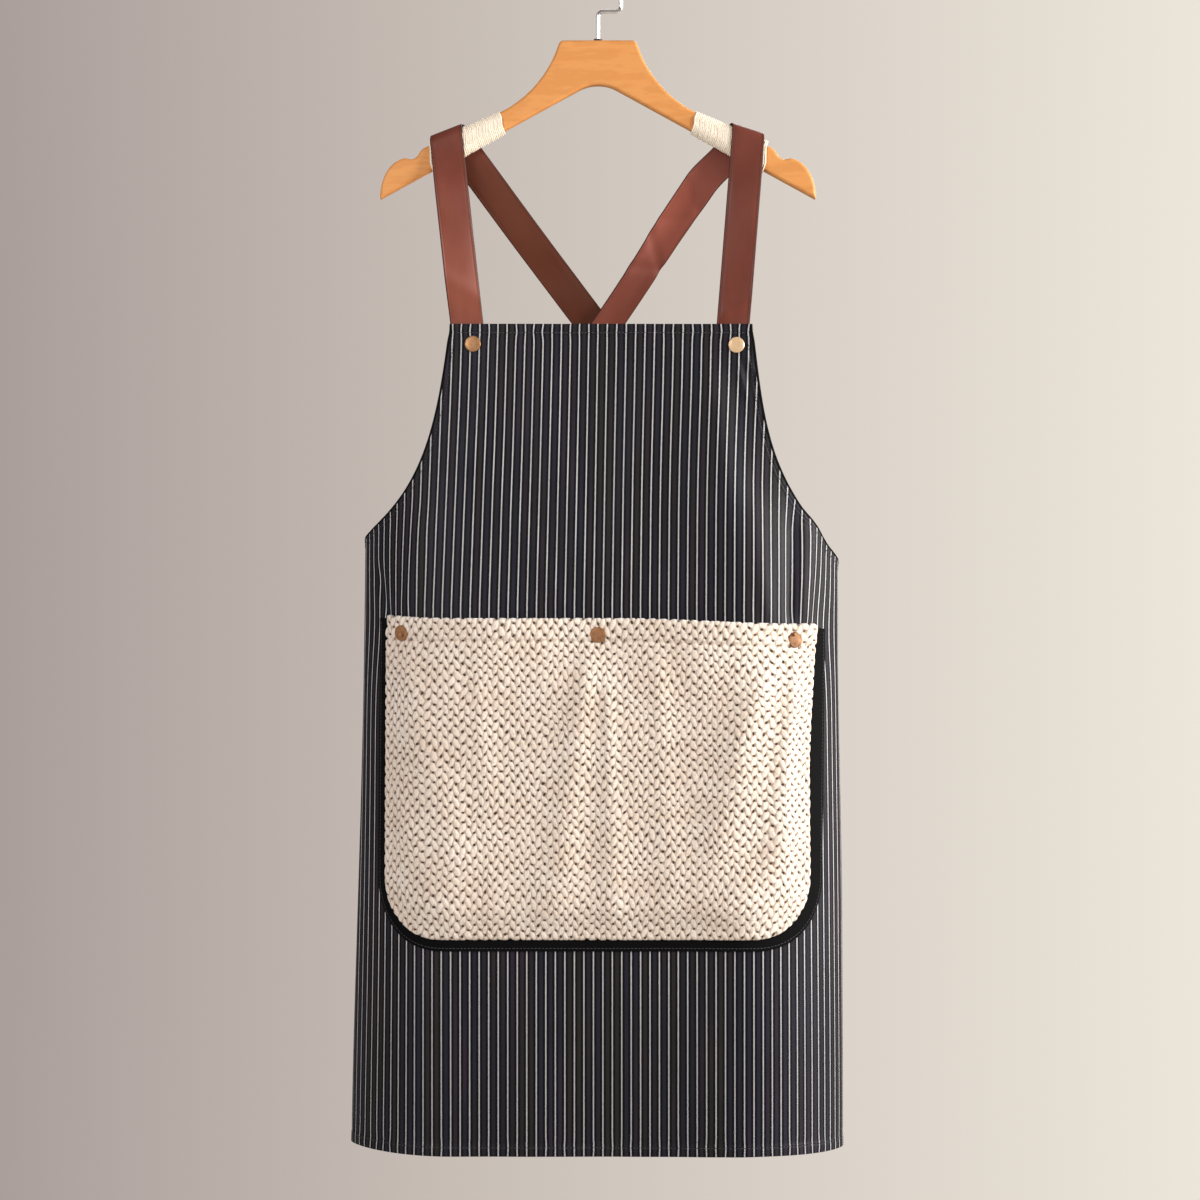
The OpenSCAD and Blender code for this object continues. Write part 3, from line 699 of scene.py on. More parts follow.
class StrapRoute:
    """A strap laid flat on a sheet that goes up the front, over the arm and down behind it."""

    def __init__(self, spec):
        side, slope = spec["side"], math.radians(spec["fold"])
        self.side, self.bow, self.aside = side, spec["bow"], spec["aside"]
        self.twist, self.face = math.radians(spec["twist"]), math.radians(spec["face"])
        self.axis = np.array([side * math.cos(slope), -math.sin(slope)])
        self.normal = np.array([side * math.sin(slope), math.cos(slope)])
        self.centre = np.array([spec["crest_x"], wrap_axis_z(abs(spec["crest_x"])) + spec["lift"]])
        rise = self.centre - np.array([spec["foot_x"], BIB_TOP_Z])
        self.front_len = np.linalg.norm(rise) + HALF_WRAP + STRAP_OVERLAP
        up = rise / np.linalg.norm(rise)
        self.flat_up = np.array([up @ self.axis, up @ self.normal])
        start = self.wrapped(np.array([BACK_START]), np.array([0.0]), np.array([0.0]))[0]
        # It leaves the arm straight on, and comes in to its end from above and from the other side.
        leave = self.flat_up[0] * self.axis - self.flat_up[1] * self.normal
        end = np.array([-side * STRAP_END[0], STRAP_END[1], STRAP_END[2]])
        arrive = np.array([side * 0.56, -0.12, 0.82])
        reach = 0.150
        self.route = np.array([start, start + reach * np.array([leave[0], 0, leave[1]]),
                               end + reach * arrive, end])
        self.share = np.linspace(0, 1, 200)
        self.run = distances(bezier(self.route, self.share))
        self.back_len = self.run[-1]

    def wrapped(self, s, w, off):
        """Places on the front run and over the arm, at s along the strap, w across it and off its middle."""
        a = s * self.flat_up[0] + w * self.flat_up[1]
        b = s * self.flat_up[1] - w * self.flat_up[0]
        r = STRAP_FOLD_R + off
        angle = np.clip(b / HALF_WRAP, -1, 1) * PI / 2
        height = r * np.cos(angle) - np.maximum(np.abs(b) - HALF_WRAP, 0)
        xz = self.centre + a[:, None] * self.axis + height[:, None] * self.normal
        foot = s + self.front_len - STRAP_OVERLAP
        loose = ease((-s - HALF_WRAP) / 0.06) * ease(foot / 0.05)
        clear = abs(np.tan(self.face)) * STRAP_W / 2 + 0.0016
        y = r * np.sin(angle) + (self.side * w * np.tan(self.face) - clear) * loose
        y = y - ease(0.5 - foot / 0.01) * drape(xz[:, 0], BIB_TOP_Z - xz[:, 1])
        return join(xz[:, 0], y, xz[:, 1])

    def behind(self, s, w, off):
        """Places on the run that hangs free behind, down to the cloth's rear corner."""
        t = np.interp(s - BACK_START, self.run, self.share)
        p, d = bezier(self.route, t), bezier_tangent(self.route, t)
        across = unit(join(-d[:, 2], np.zeros(len(d)), d[:, 0]))
        outward = unit(np.cross(across, d))
        angle = (self.twist * ease(t / 0.3) * ease((1 - t) / 0.4))[:, None]
        cos, sin = np.cos(angle), np.sin(angle)
        across, outward = cos * across + sin * outward, cos * outward - sin * across
        p = p + self.side * w[:, None] * across + off[:, None] * outward
        p[:, 1] += self.bow * ease(t / 0.3) * ease((1 - t) / 0.5) + np.abs(sin[:, 0]) * STRAP_W / 2
        p[:, 0] -= self.side * self.aside * ease(t / 0.09) * (1 - ease((t - 0.15) / 0.28))
        return p

    def points(self, s, w, off):
        s, w, off = (part.ravel() for part in np.broadcast_arrays(s, w, off))
        p = self.wrapped(s, w, off)
        free = s > BACK_START
        if free.any():
            p[free] = self.behind(s[free], w[free], off[free])
        return p


def strap_profile():
    """Cross-section: a flat band with rounded edges, as (across, off) pairs round the outside."""
    half_w, half_t = STRAP_W / 2, STRAP_T / 2
    shares = np.array([0, 0.3, 0.55, 0.8, 0.86, 0.90, 0.94, 1])
    face = STRAP_FLAT * np.concatenate([-shares[:0:-1], shares])
    # The faces are pressed in along a line near each edge.
    up = half_t - 0.00022 * bump_at(np.abs(face), STRAP_PRESS, 0.0006)
    edge = np.array([(half_w - 0.0004, 0.78 * half_t), (half_w, 0), (half_w - 0.0004, -0.78 * half_t)])
    half = np.concatenate([join(face, up), edge])
    return np.concatenate([half, -half])


def make_strap(spec, material):
    route = StrapRoute(spec)
    profile = strap_profile()
    w, off = profile.T
    s = np.concatenate([np.arange(-route.front_len, -0.035, 0.0025), np.arange(-0.035, 0.04, 0.0012),
                        np.arange(0.04, BACK_START + route.back_len, 0.0025)])
    seed = 2 if spec["side"] < 0 else 6
    rows = []
    for place in s:
        free = ease((abs(place) - 0.04) / 0.05)
        wave = 0.0006 * wander(place * 38, w * 60, seed) + 0.00025 * wander(place * 25, w * 420, seed + 3)
        wave = wave * free - 0.0005 * (w / (STRAP_W / 2)) ** 2 * free
        for at, slant, height, width in spec["creases"]:
            wave = wave + height * bump_at(place - slant * w, at, width)
        rows.append(route.points(place, w, off + wave))
    points, faces = tube(rows)
    # Both straps are cut from one length of hide, the right one further along it.
    cut = NEXT_STRAP if spec["side"] > 0 else 0.0
    flat = join(np.repeat(s + cut, len(profile)), np.tile(w, len(s)))
    new_piece(spec["name"] + "_band", points, faces, "apron", material, [spec["name"]], flat)


def make_strap_end_stitches(thread):
    """Box of stitches with a cross in it that holds each strap's end to the cloth, seen from behind."""
    half, above, proud, n = 0.011, 0.014, 0.0008, 20
    y, z = CLOTH_Y + REAR_DEPTH + CLOTH_T / 2 + proud, STRAP_END[2] + above
    outward = np.tile([0.0, 1.0, 0.0], (n, 1))
    for side, name in ((-1, "strap_stitching_left"), (1, "strap_stitching_right")):
        x = side * STRAP_END[0]
        corners = [(x + a * half, y, z + b * half) for a, b in ((-1, -1), (1, -1), (1, 1), (-1, 1))]
        runs = [(line(corners[a], corners[b], n), outward)
                for a, b in ((0, 1), (1, 2), (2, 3), (3, 0), (0, 2), (1, 3))]
        make_stitches(name + "_threads", runs, thread, [name])


# ---------- Hanger ----------

def arc(cx, cz, r, from_deg, to_deg, n):
    a = np.radians(np.linspace(from_deg, to_deg, n))
    return join(cx + r * np.cos(a), cz + r * np.sin(a))


def through(points, per_span=6):
    """Smooth curve through a list of points."""
    p = np.array([points[0]] + list(points) + [points[-1]], float)
    t = np.linspace(0, 1, per_span, endpoint=False)[:, None]
    spans = [0.5 * (2 * b + (c - a) * t + (2 * a - 5 * b + 4 * c - d) * t ** 2
                    + (3 * b - a - 3 * c + d) * t ** 3)
             for a, b, c, d in zip(p, p[1:], p[2:], p[3:])]
    return np.concatenate(spans + [p[-1:]])


# The arm's end, from its notch outwards and down.
NOSE = np.array([(0, 0), (0.006, -0.0035), (0.011, -0.0105), (0.016, -0.013), (0.023, -0.012),
                 (0.030, -0.0145), (0.037, -0.020), (0.043, -0.029), (0.0465, -0.039)])


def hanger_outline():
    """The hanger's front view: flat top, hollow flanks, notched arms and an arched underside."""
    corner_r = 0.0062
    corner = arc(PLATEAU_HALF_W - 0.0043, WOOD_TOP_Z - corner_r, corner_r, 90, 18, 10)
    flank = arc(*FLANK_CENTRE, FLANK_R, 198, 245, 36)
    notch = HANGER_HALF_W - 0.048
    z = flank[-1, 1] - (notch - flank[-1, 0]) * math.tan(ARM_SLOPE)
    arm = line(flank[-1], (notch - 0.003, z + 0.0014), 24)[1:]
    nose = through(NOSE + (notch, z))
    tip_z = UNDERSIDE_Z - HANGER_HALF_W * math.tan(UNDERSIDE_SLOPE)
    tip = through([(HANGER_HALF_W, tip_z + 0.003), (HANGER_HALF_W - 0.0008, tip_z + 0.0008),
                   (HANGER_HALF_W - 0.004, tip_z + 0.0024)], 4)
    reach = ARCH_R * math.sin(UNDERSIDE_SLOPE)
    under = UNDERSIDE_Z - reach * math.tan(UNDERSIDE_SLOPE)
    arch_z = under - ARCH_R * math.cos(UNDERSIDE_SLOPE)
    arch = arc(0, arch_z, ARCH_R, 90 - math.degrees(UNDERSIDE_SLOPE), 90, 14)
    below = line(tip[-1], arch[0], 60)[1:-1]
    half = np.concatenate([corner, flank, arm, nose, tip, below, arch])
    other = half[1:-1][::-1] * (-1, 1)
    return np.concatenate([[(0, WOOD_TOP_Z)], half, other])


def stepped_in(path, inset):
    """A closed outline moved inwards. Points that would cross at a sharp corner are drawn straight."""
    ahead = np.roll(path, -1, axis=0) - np.roll(path, 1, axis=0)
    moved = path + unit(join(ahead[:, 1], -ahead[:, 0])) * inset
    gap = np.linalg.norm(moved[:, None] - path[None], axis=-1).min(axis=1)
    kept = np.flatnonzero(gap >= 0.93 * inset)
    return sample(np.arange(len(path)), kept, moved[kept], period=len(path))


def make_wood(material):
    """The wooden hanger with rounded edges, as rings of its outline that step in towards each face."""
    path = hanger_outline()
    rings = []
    half_t = WOOD_T / 2
    bend = np.radians(np.linspace(90, 0, 9))
    steps = [(EDGE_R * (1 - math.cos(a)), half_t - EDGE_R * (1 - math.sin(a))) for a in bend]
    for inset, y in [(i, -y) for i, y in steps] + steps[::-1]:
        xz = stepped_in(path, inset)
        rings.append(join(xz[:, 0], np.full(len(xz), y), xz[:, 1]))
    points, faces = tube(rings, caps=False)
    count = len(path)
    for start, flip in ((0, 1), ((len(rings) - 1) * count, -1)):
        ring = points[start:start + count]
        fan = tessellate_polygon([[Vector(p) for p in ring]])
        faces += [[start + i for i in triangle][::flip] for triangle in fan]
    piece = new_piece("hanger_wood_rounded", points, faces, "hanger", material,
                      ["hanger_wood"])
    bm = bmesh.new()
    bm.from_mesh(piece.data)
    bmesh.ops.recalc_face_normals(bm, faces=bm.faces)
    # The flat faces, which are triangles, keep a crisp edge against the rounded sides, which are quads.
    for edge in bm.edges:
        edge.smooth = len({len(face.verts) for face in edge.link_faces}) == 1
    bm.to_mesh(piece.data)
    bm.free()


def make_wrap(side, name, material):
    """Flattened cotton cord wound round the arm, a little slack underneath."""
    turns, per_turn, sides = 43, 44, 7
    n = turns * per_turn
    k = np.arange(n + 1)
    angle, turn_no = 2 * PI * k / per_turn, k / per_turn
    travel = (WRAP_X[1] - WRAP_X[0] - 0.004) * k / n
    x_top, x_low = WRAP_X[0] + 0.004 + travel, WRAP_X[0] - 0.001 + travel
    z_top, z_low = wrap_axis_z(x_top), UNDERSIDE_Z - x_low * math.tan(UNDERSIDE_SLOPE) + 0.0062
    r = 0.0080 + 0.0002 * wander(turn_no * 1.3, 0, 4)
    up = np.cos(angle)
    slack = 0.0009 * np.clip(-up, 0, 1) ** 2 * (1 + 0.5 * wander(turn_no * 2.1, 0, 9))
    x = x_low + (x_top - x_low) * (0.5 + 0.5 * up)
    z = np.where(up > 0, z_top + r * up, z_low + (r + slack) * up)
    path = join(side * x, r * np.sin(angle), z)
    tangent = unit(np.gradient(path, axis=0))
    centre = join(side * (x_low + x_top) / 2, np.zeros(n + 1), (z_top + z_low) / 2)
    outward = path - centre
    outward = unit(outward - np.sum(outward * tangent, -1, keepdims=True) * tangent)
    across = np.cross(tangent, outward)
    around = np.linspace(0, 2 * PI, sides, endpoint=False)
    flattened = 0.7
    rings = path[:, None, :] + CORD_R * (flattened * np.cos(around)[None, :, None] * outward[:, None, :]
                                         + np.sin(around)[None, :, None] * across[:, None, :])
    points, faces = tube(rings)
    flat = join(np.repeat(k * 0.0018, sides), np.tile(around, n + 1))
    new_piece(name + "_cord", points, faces, "hanger", material, [name], flat)


# ---------- Rivets ----------

# The cap's outline from its middle, over its shallow ring and rim, to its shank: shares of radius and height.
CAP_FACE = ((0, 0.98), (0.35, 0.97), (0.66, 0.94), (0.76, 0.90), (0.79, 0.84), (0.83, 0.90), (0.90, 0.88),
            (0.96, 0.72), (1, 0.42), (0.97, 0.12), (0.90, 0), (0.30, 0))
SHANK_LEN = 0.0032


def make_cap(name, u, v, off, material):
    """Flat brass cap with a rounded rim and a shallow ring, turned on a lathe."""
    least_r, shank_r = 0.00001, RIVET_R * CAP_FACE[-1][0]
    profile = [(RIVET_R * r, RIVET_T * t) for r, t in CAP_FACE] + [(shank_r, -SHANK_LEN), (0, -SHANK_LEN)]
    p, along, down, outward = cloth_frame(u, v, off)
    around = np.linspace(0, 2 * PI, 64, endpoint=False)[:, None]
    turned = np.cos(around) * along - np.sin(around) * down
    points, faces = tube([p + max(radius, least_r) * turned + height * outward for radius, height in profile])
    new_piece(name + "_turned", points, faces, "apron", material, [name])


# ---------- Materials ----------

class Nodes:
    """Short ways to add nodes to a tree. A colour is three numbers."""

    def __init__(self, tree):
        self.tree = tree

    def put(self, socket, source):
        """Sets an input to a value or colour, or links it to another node's output."""
        if isinstance(source, bpy.types.NodeSocket):
            self.tree.links.new(source, socket)
        else:
            socket.default_value = source + (1,) if isinstance(source, tuple) else source

    def add(self, kind, sources, output=0, **settings):
        """One output of a new node, whose inputs are given by name or by number."""
        node = self.tree.nodes.new("ShaderNode" + kind)
        for name, value in settings.items():
            setattr(node, name, value)
        for socket, source in sources.items():
            self.put(node.inputs[socket], source)
        return node.outputs[output]

    def math(self, operation, *sources):
        return self.add("Math", dict(enumerate(sources)), operation=operation)

    def times(self, a, b):
        return self.math("MULTIPLY", a, b)

    def plus(self, a, b):
        return self.math("ADD", a, b)

    def minus(self, a, b):
        return self.math("SUBTRACT", a, b)

    def mix(self, factor, a, b):
        return self.add("Mix", {0: factor, 6: a, 7: b}, 2, data_type="RGBA")

    def remap(self, value, low, high, to_low=0.0, to_high=1.0):
        return self.add("MapRange", dict(enumerate((value, low, high, to_low, to_high))),
                        interpolation_type="SMOOTHSTEP")

    def noise(self, place, scale, detail=3.0, roughness=0.55):
        """Noise at one scale, or at one scale for each axis."""
        if isinstance(scale, tuple):
            place, scale = self.add("Mapping", {"Vector": place, "Scale": Vector(scale)}), 1.0
        return self.add("TexNoise", {"Vector": place, "Scale": scale, "Detail": detail,
                                     "Roughness": roughness})

    def flat(self, name="Flat"):
        """The piece's own flat places: both together, then along u and v."""
        uv = self.add("UVMap", {}, uv_map=name)
        return uv, self.add("SeparateXYZ", {0: uv}, "X"), self.add("SeparateXYZ", {0: uv}, "Y")

    def place(self):
        return self.add("TexCoord", {}, "Object")

    def bump(self, height, strength, distance):
        return self.add("Bump", {"Height": height, "Strength": strength, "Distance": distance})


class Shader(Nodes):
    """A material with a Principled surface."""

    def __init__(self, name, **surface):
        self.material = bpy.data.materials.new(name)
        self.material.use_nodes = True
        super().__init__(self.material.node_tree)
        self.surface = self.tree.nodes["Principled BSDF"]
        for socket, value in surface.items():
            self.put(self.surface.inputs[socket.replace("_", " ")], value)

    def finish(self, color, roughness=None, normal=None):
        for socket, source in (("Base Color", color), ("Roughness", roughness), ("Normal", normal)):
            if source is not None:
                self.put(self.surface.inputs[socket], source)
        return self.material


def striped_cloth():
    """Dark ticking: thin off-white lines, a greyer band midway and a fine plain weave."""
    s = Shader("striped_cloth", Sheen_Weight=0.028, Sheen_Roughness=0.35, Specular_IOR_Level=0.11)
    flat, u, v = s.flat()
    fray = s.math("MULTIPLY_ADD", s.noise(flat, (900, 260, 1), 2.0), 0.00042, -0.00021)
    cycle = s.math("DIVIDE", s.plus(u, fray), STRIPE_PITCH)
    phase = s.math("ABSOLUTE", s.minus(s.math("FRACT", s.plus(cycle, 100.5)), 0.5))
    white_line = s.remap(phase, 0.048, 0.086, 1.0, 0.0)
    column = s.remap(s.noise(flat, (58.0, 2.2, 1), 1.0), 0.35, 0.65)
    tint = s.noise(flat, (31.0, 3.0, 7), 1.0)
    dark_patches = s.noise(flat, (15, 9, 1), 3.0)
    ground = s.mix(column, (0.0030, 0.0024, 0.0028), (0.0021, 0.0022, 0.0040))
    band = s.mix(column, (0.021, 0.0170, 0.0170), (0.0140, 0.0145, 0.0245))
    band = s.mix(s.remap(tint, 0.48, 0.66, 0.0, 0.7), band, (0.026, 0.0165, 0.0290))
    # The band is darker in soft random patches.
    band = s.mix(s.remap(dark_patches, 0.35, 0.65, 0.55, 0.0), band, (0.010, 0.0095, 0.011))
    dark = s.mix(s.remap(phase, 0.27, 0.36), ground, band)
    broken = s.remap(s.noise(flat, (1400, 1100, 1), 3.0, 0.7), 0.30, 0.62, 0.35, 1.0)
    white = s.mix(broken, (0.13, 0.126, 0.13), (0.52, 0.51, 0.525))
    # Painted shade: the white lines are painted darker on the lower skirt.
    white = s.mix(s.remap(v, 0.60, 0.72, 0.0, 0.45), white, (0.24, 0.236, 0.25))
    color = s.mix(white_line, dark, white)
    warp, weft = [s.math("SINE", s.times(way, 2 * PI / 0.00062)) for way in (u, v)]
    slub = s.noise(flat, (700, 240, 1), 4.0, 0.65)
    height = s.plus(s.times(s.times(warp, weft), 0.5), s.times(slub, 1.4))
    height = s.plus(height, s.times(white_line, 0.5))
    return s.finish(color, s.remap(slub, 0.3, 0.7, 0.42, 0.56), s.bump(height, 0.40, 0.00012))


def woven_black(name, tone, pitch):
    """Plain black weave with a faint grain, for tape and pocket backing."""
    s = Shader(name, Sheen_Weight=0.01, Specular_IOR_Level=0.05)
    flat, u, v = s.flat()
    twill = s.math("SINE", s.times(s.plus(u, s.times(v, 0.7)), 2 * PI / pitch))
    slub = s.noise(flat, (500, 500, 1), 4.0, 0.6)
    low, high = (tone * 0.7, tone * 0.7, tone * 0.75), (tone * 1.5, tone * 1.45, tone * 1.5)
    color = s.mix(s.remap(slub, 0.3, 0.7), low, high)
    height = s.plus(s.times(twill, 0.6), slub)
    return s.finish(color, s.remap(slub, 0.3, 0.7, 0.7, 0.9), s.bump(height, 0.5, 0.00015))


def knit_masks(s):
    """The same stitches as knit_height, for colour: their crests, then the holes between them."""
    _, x, y = s.flat("Knit")
    crests, holes = [], []

    def oval(a, half_a, b, half_b):
        squares = [s.math("POWER", s.math("ABSOLUTE", s.math("DIVIDE", value, half)), 2.0)
                   for value, half in ((a, half_a), (b, half_b))]
        return s.minus(s.minus(1.0, squares[0]), squares[1])

    for extra in (0.0, 1.0):
        column = s.plus(s.math("FLOOR", x), extra)
        odd = s.math("FLOORED_MODULO", column, 2.0)
        along = s.math("MULTIPLY_ADD", odd, 0.5, y)
        t = s.minus(along, s.math("FLOOR", s.plus(along, 0.5)))
        across = s.minus(x, column)
        holes.append(oval(across, HOLE_HALF_W, s.minus(0.5, s.math("ABSOLUTE", t)), HOLE_HALF_H))
        lean = s.times(s.math("MULTIPLY_ADD", odd, 2.0, -1.0), KNIT_LEAN)
        crests.append(oval(s.math("MULTIPLY_ADD", lean, t, across), KNIT_HALF_W, t, KNIT_HALF_H))
    crest, hole = [s.math("MAXIMUM", s.math("MAXIMUM", *pair), 0.0) for pair in (crests, holes)]
    return s.math("POWER", crest, KNIT_ROUND), hole


def cream_fleece():
    """Plush cream knit: painted warm shade down in its creases and holes, and a fine fibre grain on top."""
    s = Shader("cream_fleece", Sheen_Weight=0.35, Sheen_Roughness=0.6, Specular_IOR_Level=0.12)
    flat, _, _ = s.flat()
    crest, hole = knit_masks(s)
    soft = s.noise(flat, (22, 22, 1))
    uneven = s.noise(flat, (75, 75, 1))
    fibre = s.noise(flat, (1100, 650, 1), 4.0, 0.7)
    tuft = s.noise(flat, (420, 300, 1), 3.0, 0.65)
    top = s.mix(s.remap(soft, 0.3, 0.7), (0.74, 0.635, 0.54), (0.82, 0.745, 0.665))
    top = s.mix(s.remap(fibre, 0.25, 0.75, 0.26, 0.0), top, (0.55, 0.42, 0.30))
    top = s.mix(s.remap(tuft, 0.34, 0.56, 0.42, 0.0), top, (0.50, 0.385, 0.285))
    # Painted shade: the creases between the stitches, and the holes below, are painted darker.
    crease = s.times(s.remap(crest, 0.66, 0.90, 1.0, 0.0), s.remap(uneven, 0.30, 0.62, 0.35, 0.95))
    color = s.mix(crease, top, (0.38, 0.27, 0.195))
    color = s.mix(s.remap(hole, 0.02, 0.35, 0.0, 0.98), color, (0.060, 0.032, 0.020))
    height = s.plus(s.minus(crest, s.times(hole, 0.6)), s.times(fibre, 0.35))
    height = s.plus(height, s.times(tuft, 1.1))
    return s.finish(color, s.remap(fibre, 0.3, 0.7, 0.85, 0.98), s.bump(height, 0.60, 0.0007))


def brown_strap():
    """Smooth red-brown strap with darker painted edges and a very fine grain, with painted light and shade on
    its runs.
    """
    s = Shader("brown_strap", Specular_IOR_Level=0.22, Sheen_Weight=0.01,
               Coat_Weight=0.02, Coat_Roughness=0.35)
    flat, along, across = s.flat()
    second = s.math("GREATER_THAN", along, NEXT_STRAP / 2)
    along = s.minus(along, s.times(second, NEXT_STRAP))
    from_middle = s.math("ABSOLUTE", across)
    cloud = s.noise(flat, (14, 30, 1))
    grain = s.noise(flat, (900, 1600, 1), 4.0, 0.7)
    body = s.mix(s.remap(cloud, 0.3, 0.7), (0.122, 0.028, 0.0165), (0.150, 0.037, 0.0225))
    body = s.mix(s.times(grain, 0.25), body, (0.09, 0.020, 0.012))
    from_press = s.math("ABSOLUTE", s.minus(from_middle, STRAP_PRESS))
    body = s.mix(s.remap(from_press, 0.0002, 0.0008, 0.55, 0.0), body, (0.075, 0.017, 0.010))
    # Painted highlight: the left strap's front run is painted paler towards its foot, as if more light fell
    # there.
    painted_highlight_left_front = s.times(s.remap(along, -0.215, -0.05, 0.34, 0.0), s.minus(1.0, second))
    body = s.mix(s.times(painted_highlight_left_front, s.remap(along, -1.0, -0.25)), body, (0.33, 0.105, 0.066))
    # Painted shade and light behind: the left strap's back run is painted darker, as if in shade, and the
    # right one's is painted lighter, most near its top, where the front strap's shadow falls.
    right = s.mix(s.remap(along, 0.09, 0.20), (0.280, 0.076, 0.050), (0.140, 0.036, 0.023))
    behind = s.mix(second, (0.092, 0.025, 0.0095), right)
    body = s.mix(s.times(s.remap(along, 0.02, 0.07), 0.75), body, behind)
    painted = s.remap(from_middle, STRAP_W / 2 - 0.0016, STRAP_W / 2 - 0.0004)
    color = s.mix(painted, body, (0.040, 0.009, 0.006))
    return s.finish(color, s.remap(cloud, 0.3, 0.7, 0.38, 0.50), s.bump(grain, 0.25, 0.00008))


def thread_material(name, low, high, roughness, sheen):
    s = Shader(name, Roughness=roughness, Sheen_Weight=sheen)
    return s.finish(s.mix(s.noise(s.place(), 900, 2.0), low, high))


def cotton_cord():
    """Natural cotton cord: fine slanting twist with painted shade in its grooves, and small colour changes
    from turn to turn.
    """
    s = Shader("cotton_cord", Roughness=0.85, Sheen_Weight=0.35, Specular_IOR_Level=0.2)
    _, along, around = s.flat()
    twist = s.math("SINE", s.plus(s.times(along, 2 * PI / 0.0016), s.times(around, 2.0)))
    tone = s.noise(s.place(), 160, 4.0, 0.6)
    color = s.mix(s.remap(tone, 0.3, 0.7), (0.80, 0.70, 0.555), (0.86, 0.775, 0.645))
    # Painted shade in the grooves of the twist.
    color = s.mix(s.remap(twist, -1, -0.3, 0.14, 0.0), color, (0.58, 0.44, 0.30))
    return s.finish(color, None, s.bump(twist, 0.35, 0.00015))


def lacquered_wood():
    """Honey-coloured hardwood under clear lacquer, its grain along the arms."""
    s = Shader("lacquered_wood", Coat_Weight=0.18, Coat_Roughness=0.42, Specular_IOR_Level=0.30)
    place = s.place()
    wide = s.noise(place, (14, 40, 60), 4.0, 0.55)
    fine = s.noise(place, (60, 400, 520), 5.0, 0.7)
    rings = s.math("SINE", s.times(wide, 26.0))
    base = s.mix(s.remap(rings, -1, 1), (0.59, 0.243, 0.063), (0.64, 0.277, 0.077))
    color = s.mix(s.remap(fine, 0.45, 0.80, 0.0, 0.55), base, (0.67, 0.222, 0.040))
    return s.finish(color, s.remap(fine, 0.3, 0.7, 0.46, 0.58), s.bump(fine, 0.08, 0.0001))


def metal(name, color, dull, roughness, scale, scratch=0.15, bare=1.0):
    """Metal with fine scratches and a duller tone in patches. bare is less than 1 where it is tarnished."""
    s = Shader(name, Metallic=bare)
    place = s.place()
    patch = s.noise(place, scale, 4.0, 0.6)
    scratches = s.noise(place, (300, 300, 3000), 3.0, 0.6)
    tone = s.mix(s.remap(patch, 0.35, 0.7), color, dull)
    return s.finish(tone, s.remap(patch, 0.3, 0.7, roughness * 0.8, roughness * 1.3),
                    s.bump(scratches, scratch, 0.00005))


def brass(name, color, dull, roughness):
    return metal(name, color, dull, roughness, 260, bare=0.5)


def dress_cad_node(node, material):
    """Gives a CAD part that stays as it is its final material."""
    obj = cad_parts[node]
    obj.data.materials.clear()
    obj.data.materials.append(material)
    for face in obj.data.polygons:
        face.use_smooth = True


# ---------- Stage, light and camera ----------

def make_stage():
    """A wide pale floor and a room that is darker on the left, behind the object."""
    floor_z, floor_r, sides = -2.85, 6.4, 96
    turns = [2 * PI * i / sides for i in range(sides)]
    mesh = bpy.data.meshes.new("floor")
    mesh.from_pydata([(floor_r * math.cos(a), floor_r * math.sin(a), floor_z) for a in turns], [],
                     [tuple(range(sides))])
    s = Shader("pale_floor", Roughness=0.9, Specular_IOR_Level=0.1,
               Emission_Strength=0.20, Emission_Color=(0.80, 0.74, 0.67))
    mesh.materials.append(s.finish((0.52, 0.485, 0.445)))
    add_object("floor", mesh)
    world = bpy.data.worlds.new("pale_room")
    world.use_nodes = True
    room = Nodes(world.node_tree)
    surface = room.tree.nodes["Background"]
    # Light that falls on the object is dimmer than the pale room that shows behind it.
    seen = room.add("LightPath", {}, "Is Camera Ray")
    room.put(surface.inputs["Strength"], room.math("MULTIPLY_ADD", seen, 1 - ROOM_LIGHT, ROOM_LIGHT))
    x = room.add("SeparateXYZ", {0: room.add("TexCoord", {}, "Generated")}, "X")
    spread = room.add("MapRange", {"Value": x, "From Min": -ROOM_SPREAD, "From Max": ROOM_SPREAD})
    room.put(surface.inputs["Color"], room.mix(spread, *ROOM_TONES))
    bpy.context.scene.world = world
    bpy.context.scene.view_settings.view_transform = "Standard"


def add_light(name, place, target, size, power, color):
    data = bpy.data.lights.new(name, "AREA")
    data.shape = "DISK"
    data.size, data.energy, data.color = size, power, color
    lamp = add_object(name, data)
    lamp.location = place
    lamp.rotation_euler = (Vector(target) - Vector(place)).to_track_quat("-Z", "Y").to_euler()


def make_camera():
    data = bpy.data.cameras.new("camera")
    data.lens = CAMERA_LENS
    data.sensor_width = 36
    camera = add_object("camera", data)
    camera.location = CAMERA_PLACE
    camera.rotation_euler = (PI / 2, 0, 0)
    bpy.context.scene.camera = camera


# ---------- Build ----------

make_camera()
make_stage()
for light in LIGHTS:
    add_light(*light)

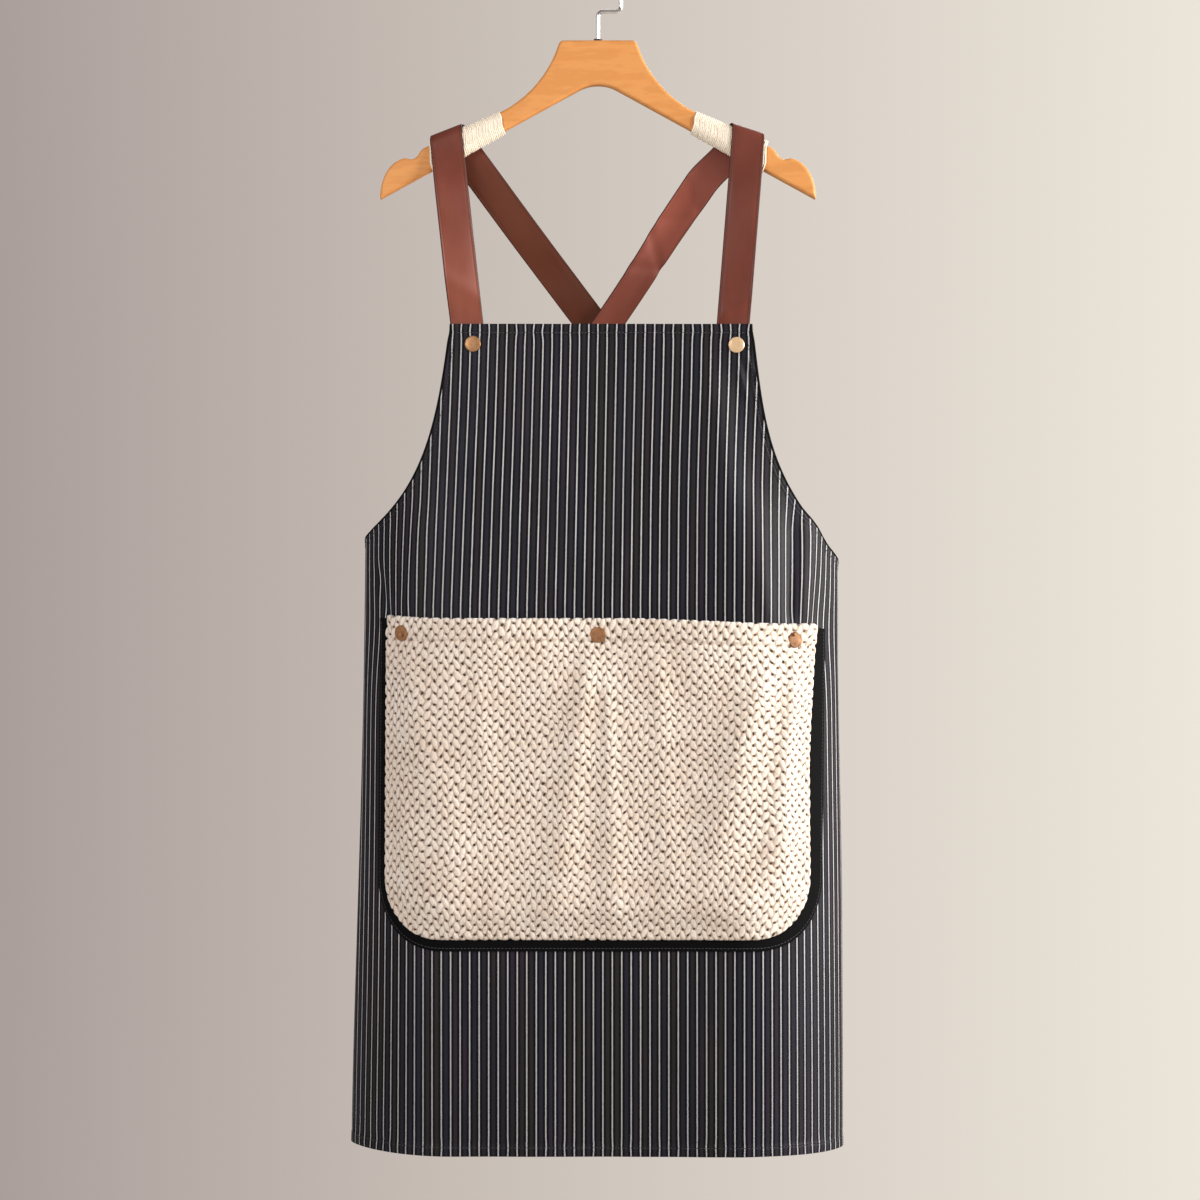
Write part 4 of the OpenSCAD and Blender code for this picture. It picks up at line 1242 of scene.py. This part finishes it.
thread = thread_material("dark_thread", (0.006, 0.006, 0.008), (0.03, 0.03, 0.034), 0.65, 0.2)
fleece_thread = thread_material("cream_thread", (0.40, 0.29, 0.19), (0.62, 0.50, 0.37), 0.8, 0.3)
make_panel()
make_hem_stitches(thread)
tape = woven_black("black_tape", 0.0035, 0.0011)
make_binding(-1, "armhole_binding_left", tape, thread)
make_binding(1, "armhole_binding_right", tape, thread)
make_backing(woven_black("black_backing", 0.0030, 0.0009), thread)
make_fleece(cream_fleece(), fleece_thread)
hide = brown_strap()
for strap_spec in STRAPS:
    make_strap(strap_spec, hide)
make_strap_end_stitches(thread)
make_wood(lacquered_wood())
cord = cotton_cord()
make_wrap(-1, "grip_wrap_left", cord)
make_wrap(1, "grip_wrap_right", cord)

tarnished = brass("tarnished_brass", (0.35, 0.180, 0.076), (0.28, 0.135, 0.053), 0.34)
bright = brass("bright_brass", (0.80, 0.57, 0.35), (0.66, 0.44, 0.25), 0.34)
pocket_brass = brass("pocket_brass", (0.34, 0.165, 0.070), (0.23, 0.105, 0.045), 0.50)
dark_brass = brass("dark_brass", (0.185, 0.082, 0.029), (0.130, 0.054, 0.020), 0.50)
for label, (rivet_u, rivet_v), metal_used in zip(("left", "right"), BIB_RIVETS, (tarnished, bright)):
    make_cap("bib_rivet_cap_" + label, rivet_u, rivet_v, CLOTH_T / 2 + 0.0004, metal_used)
pocket_caps = (("left", -1, pocket_brass), ("centre", 0, pocket_brass), ("right", 1, dark_brass))
for label, step, metal_used in pocket_caps:
    make_cap("pocket_rivet_cap_" + label, step * POCKET_RIVET_U, POCKET_RIVET_V,
             FLEECE_OFF + FLEECE_T - 0.0004, metal_used)

dress_cad_node("hook_wire", metal("chrome_wire", (0.86, 0.86, 0.88), (0.74, 0.74, 0.77), 0.10, 120, 0.05))
steel = metal("plain_steel", (0.62, 0.61, 0.60), (0.45, 0.44, 0.43), 0.32, 200)
for cad_node in ("retaining_collar", "thrust_washer"):
    dress_cad_node(cad_node, steel)
dress_cad_node("swivel_bush", metal("dark_bush", (0.10, 0.08, 0.07), (0.05, 0.04, 0.035), 0.4, 200))
for cad_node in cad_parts:
    if "rivet_post" in cad_node:
        dress_cad_node(cad_node, pocket_brass)
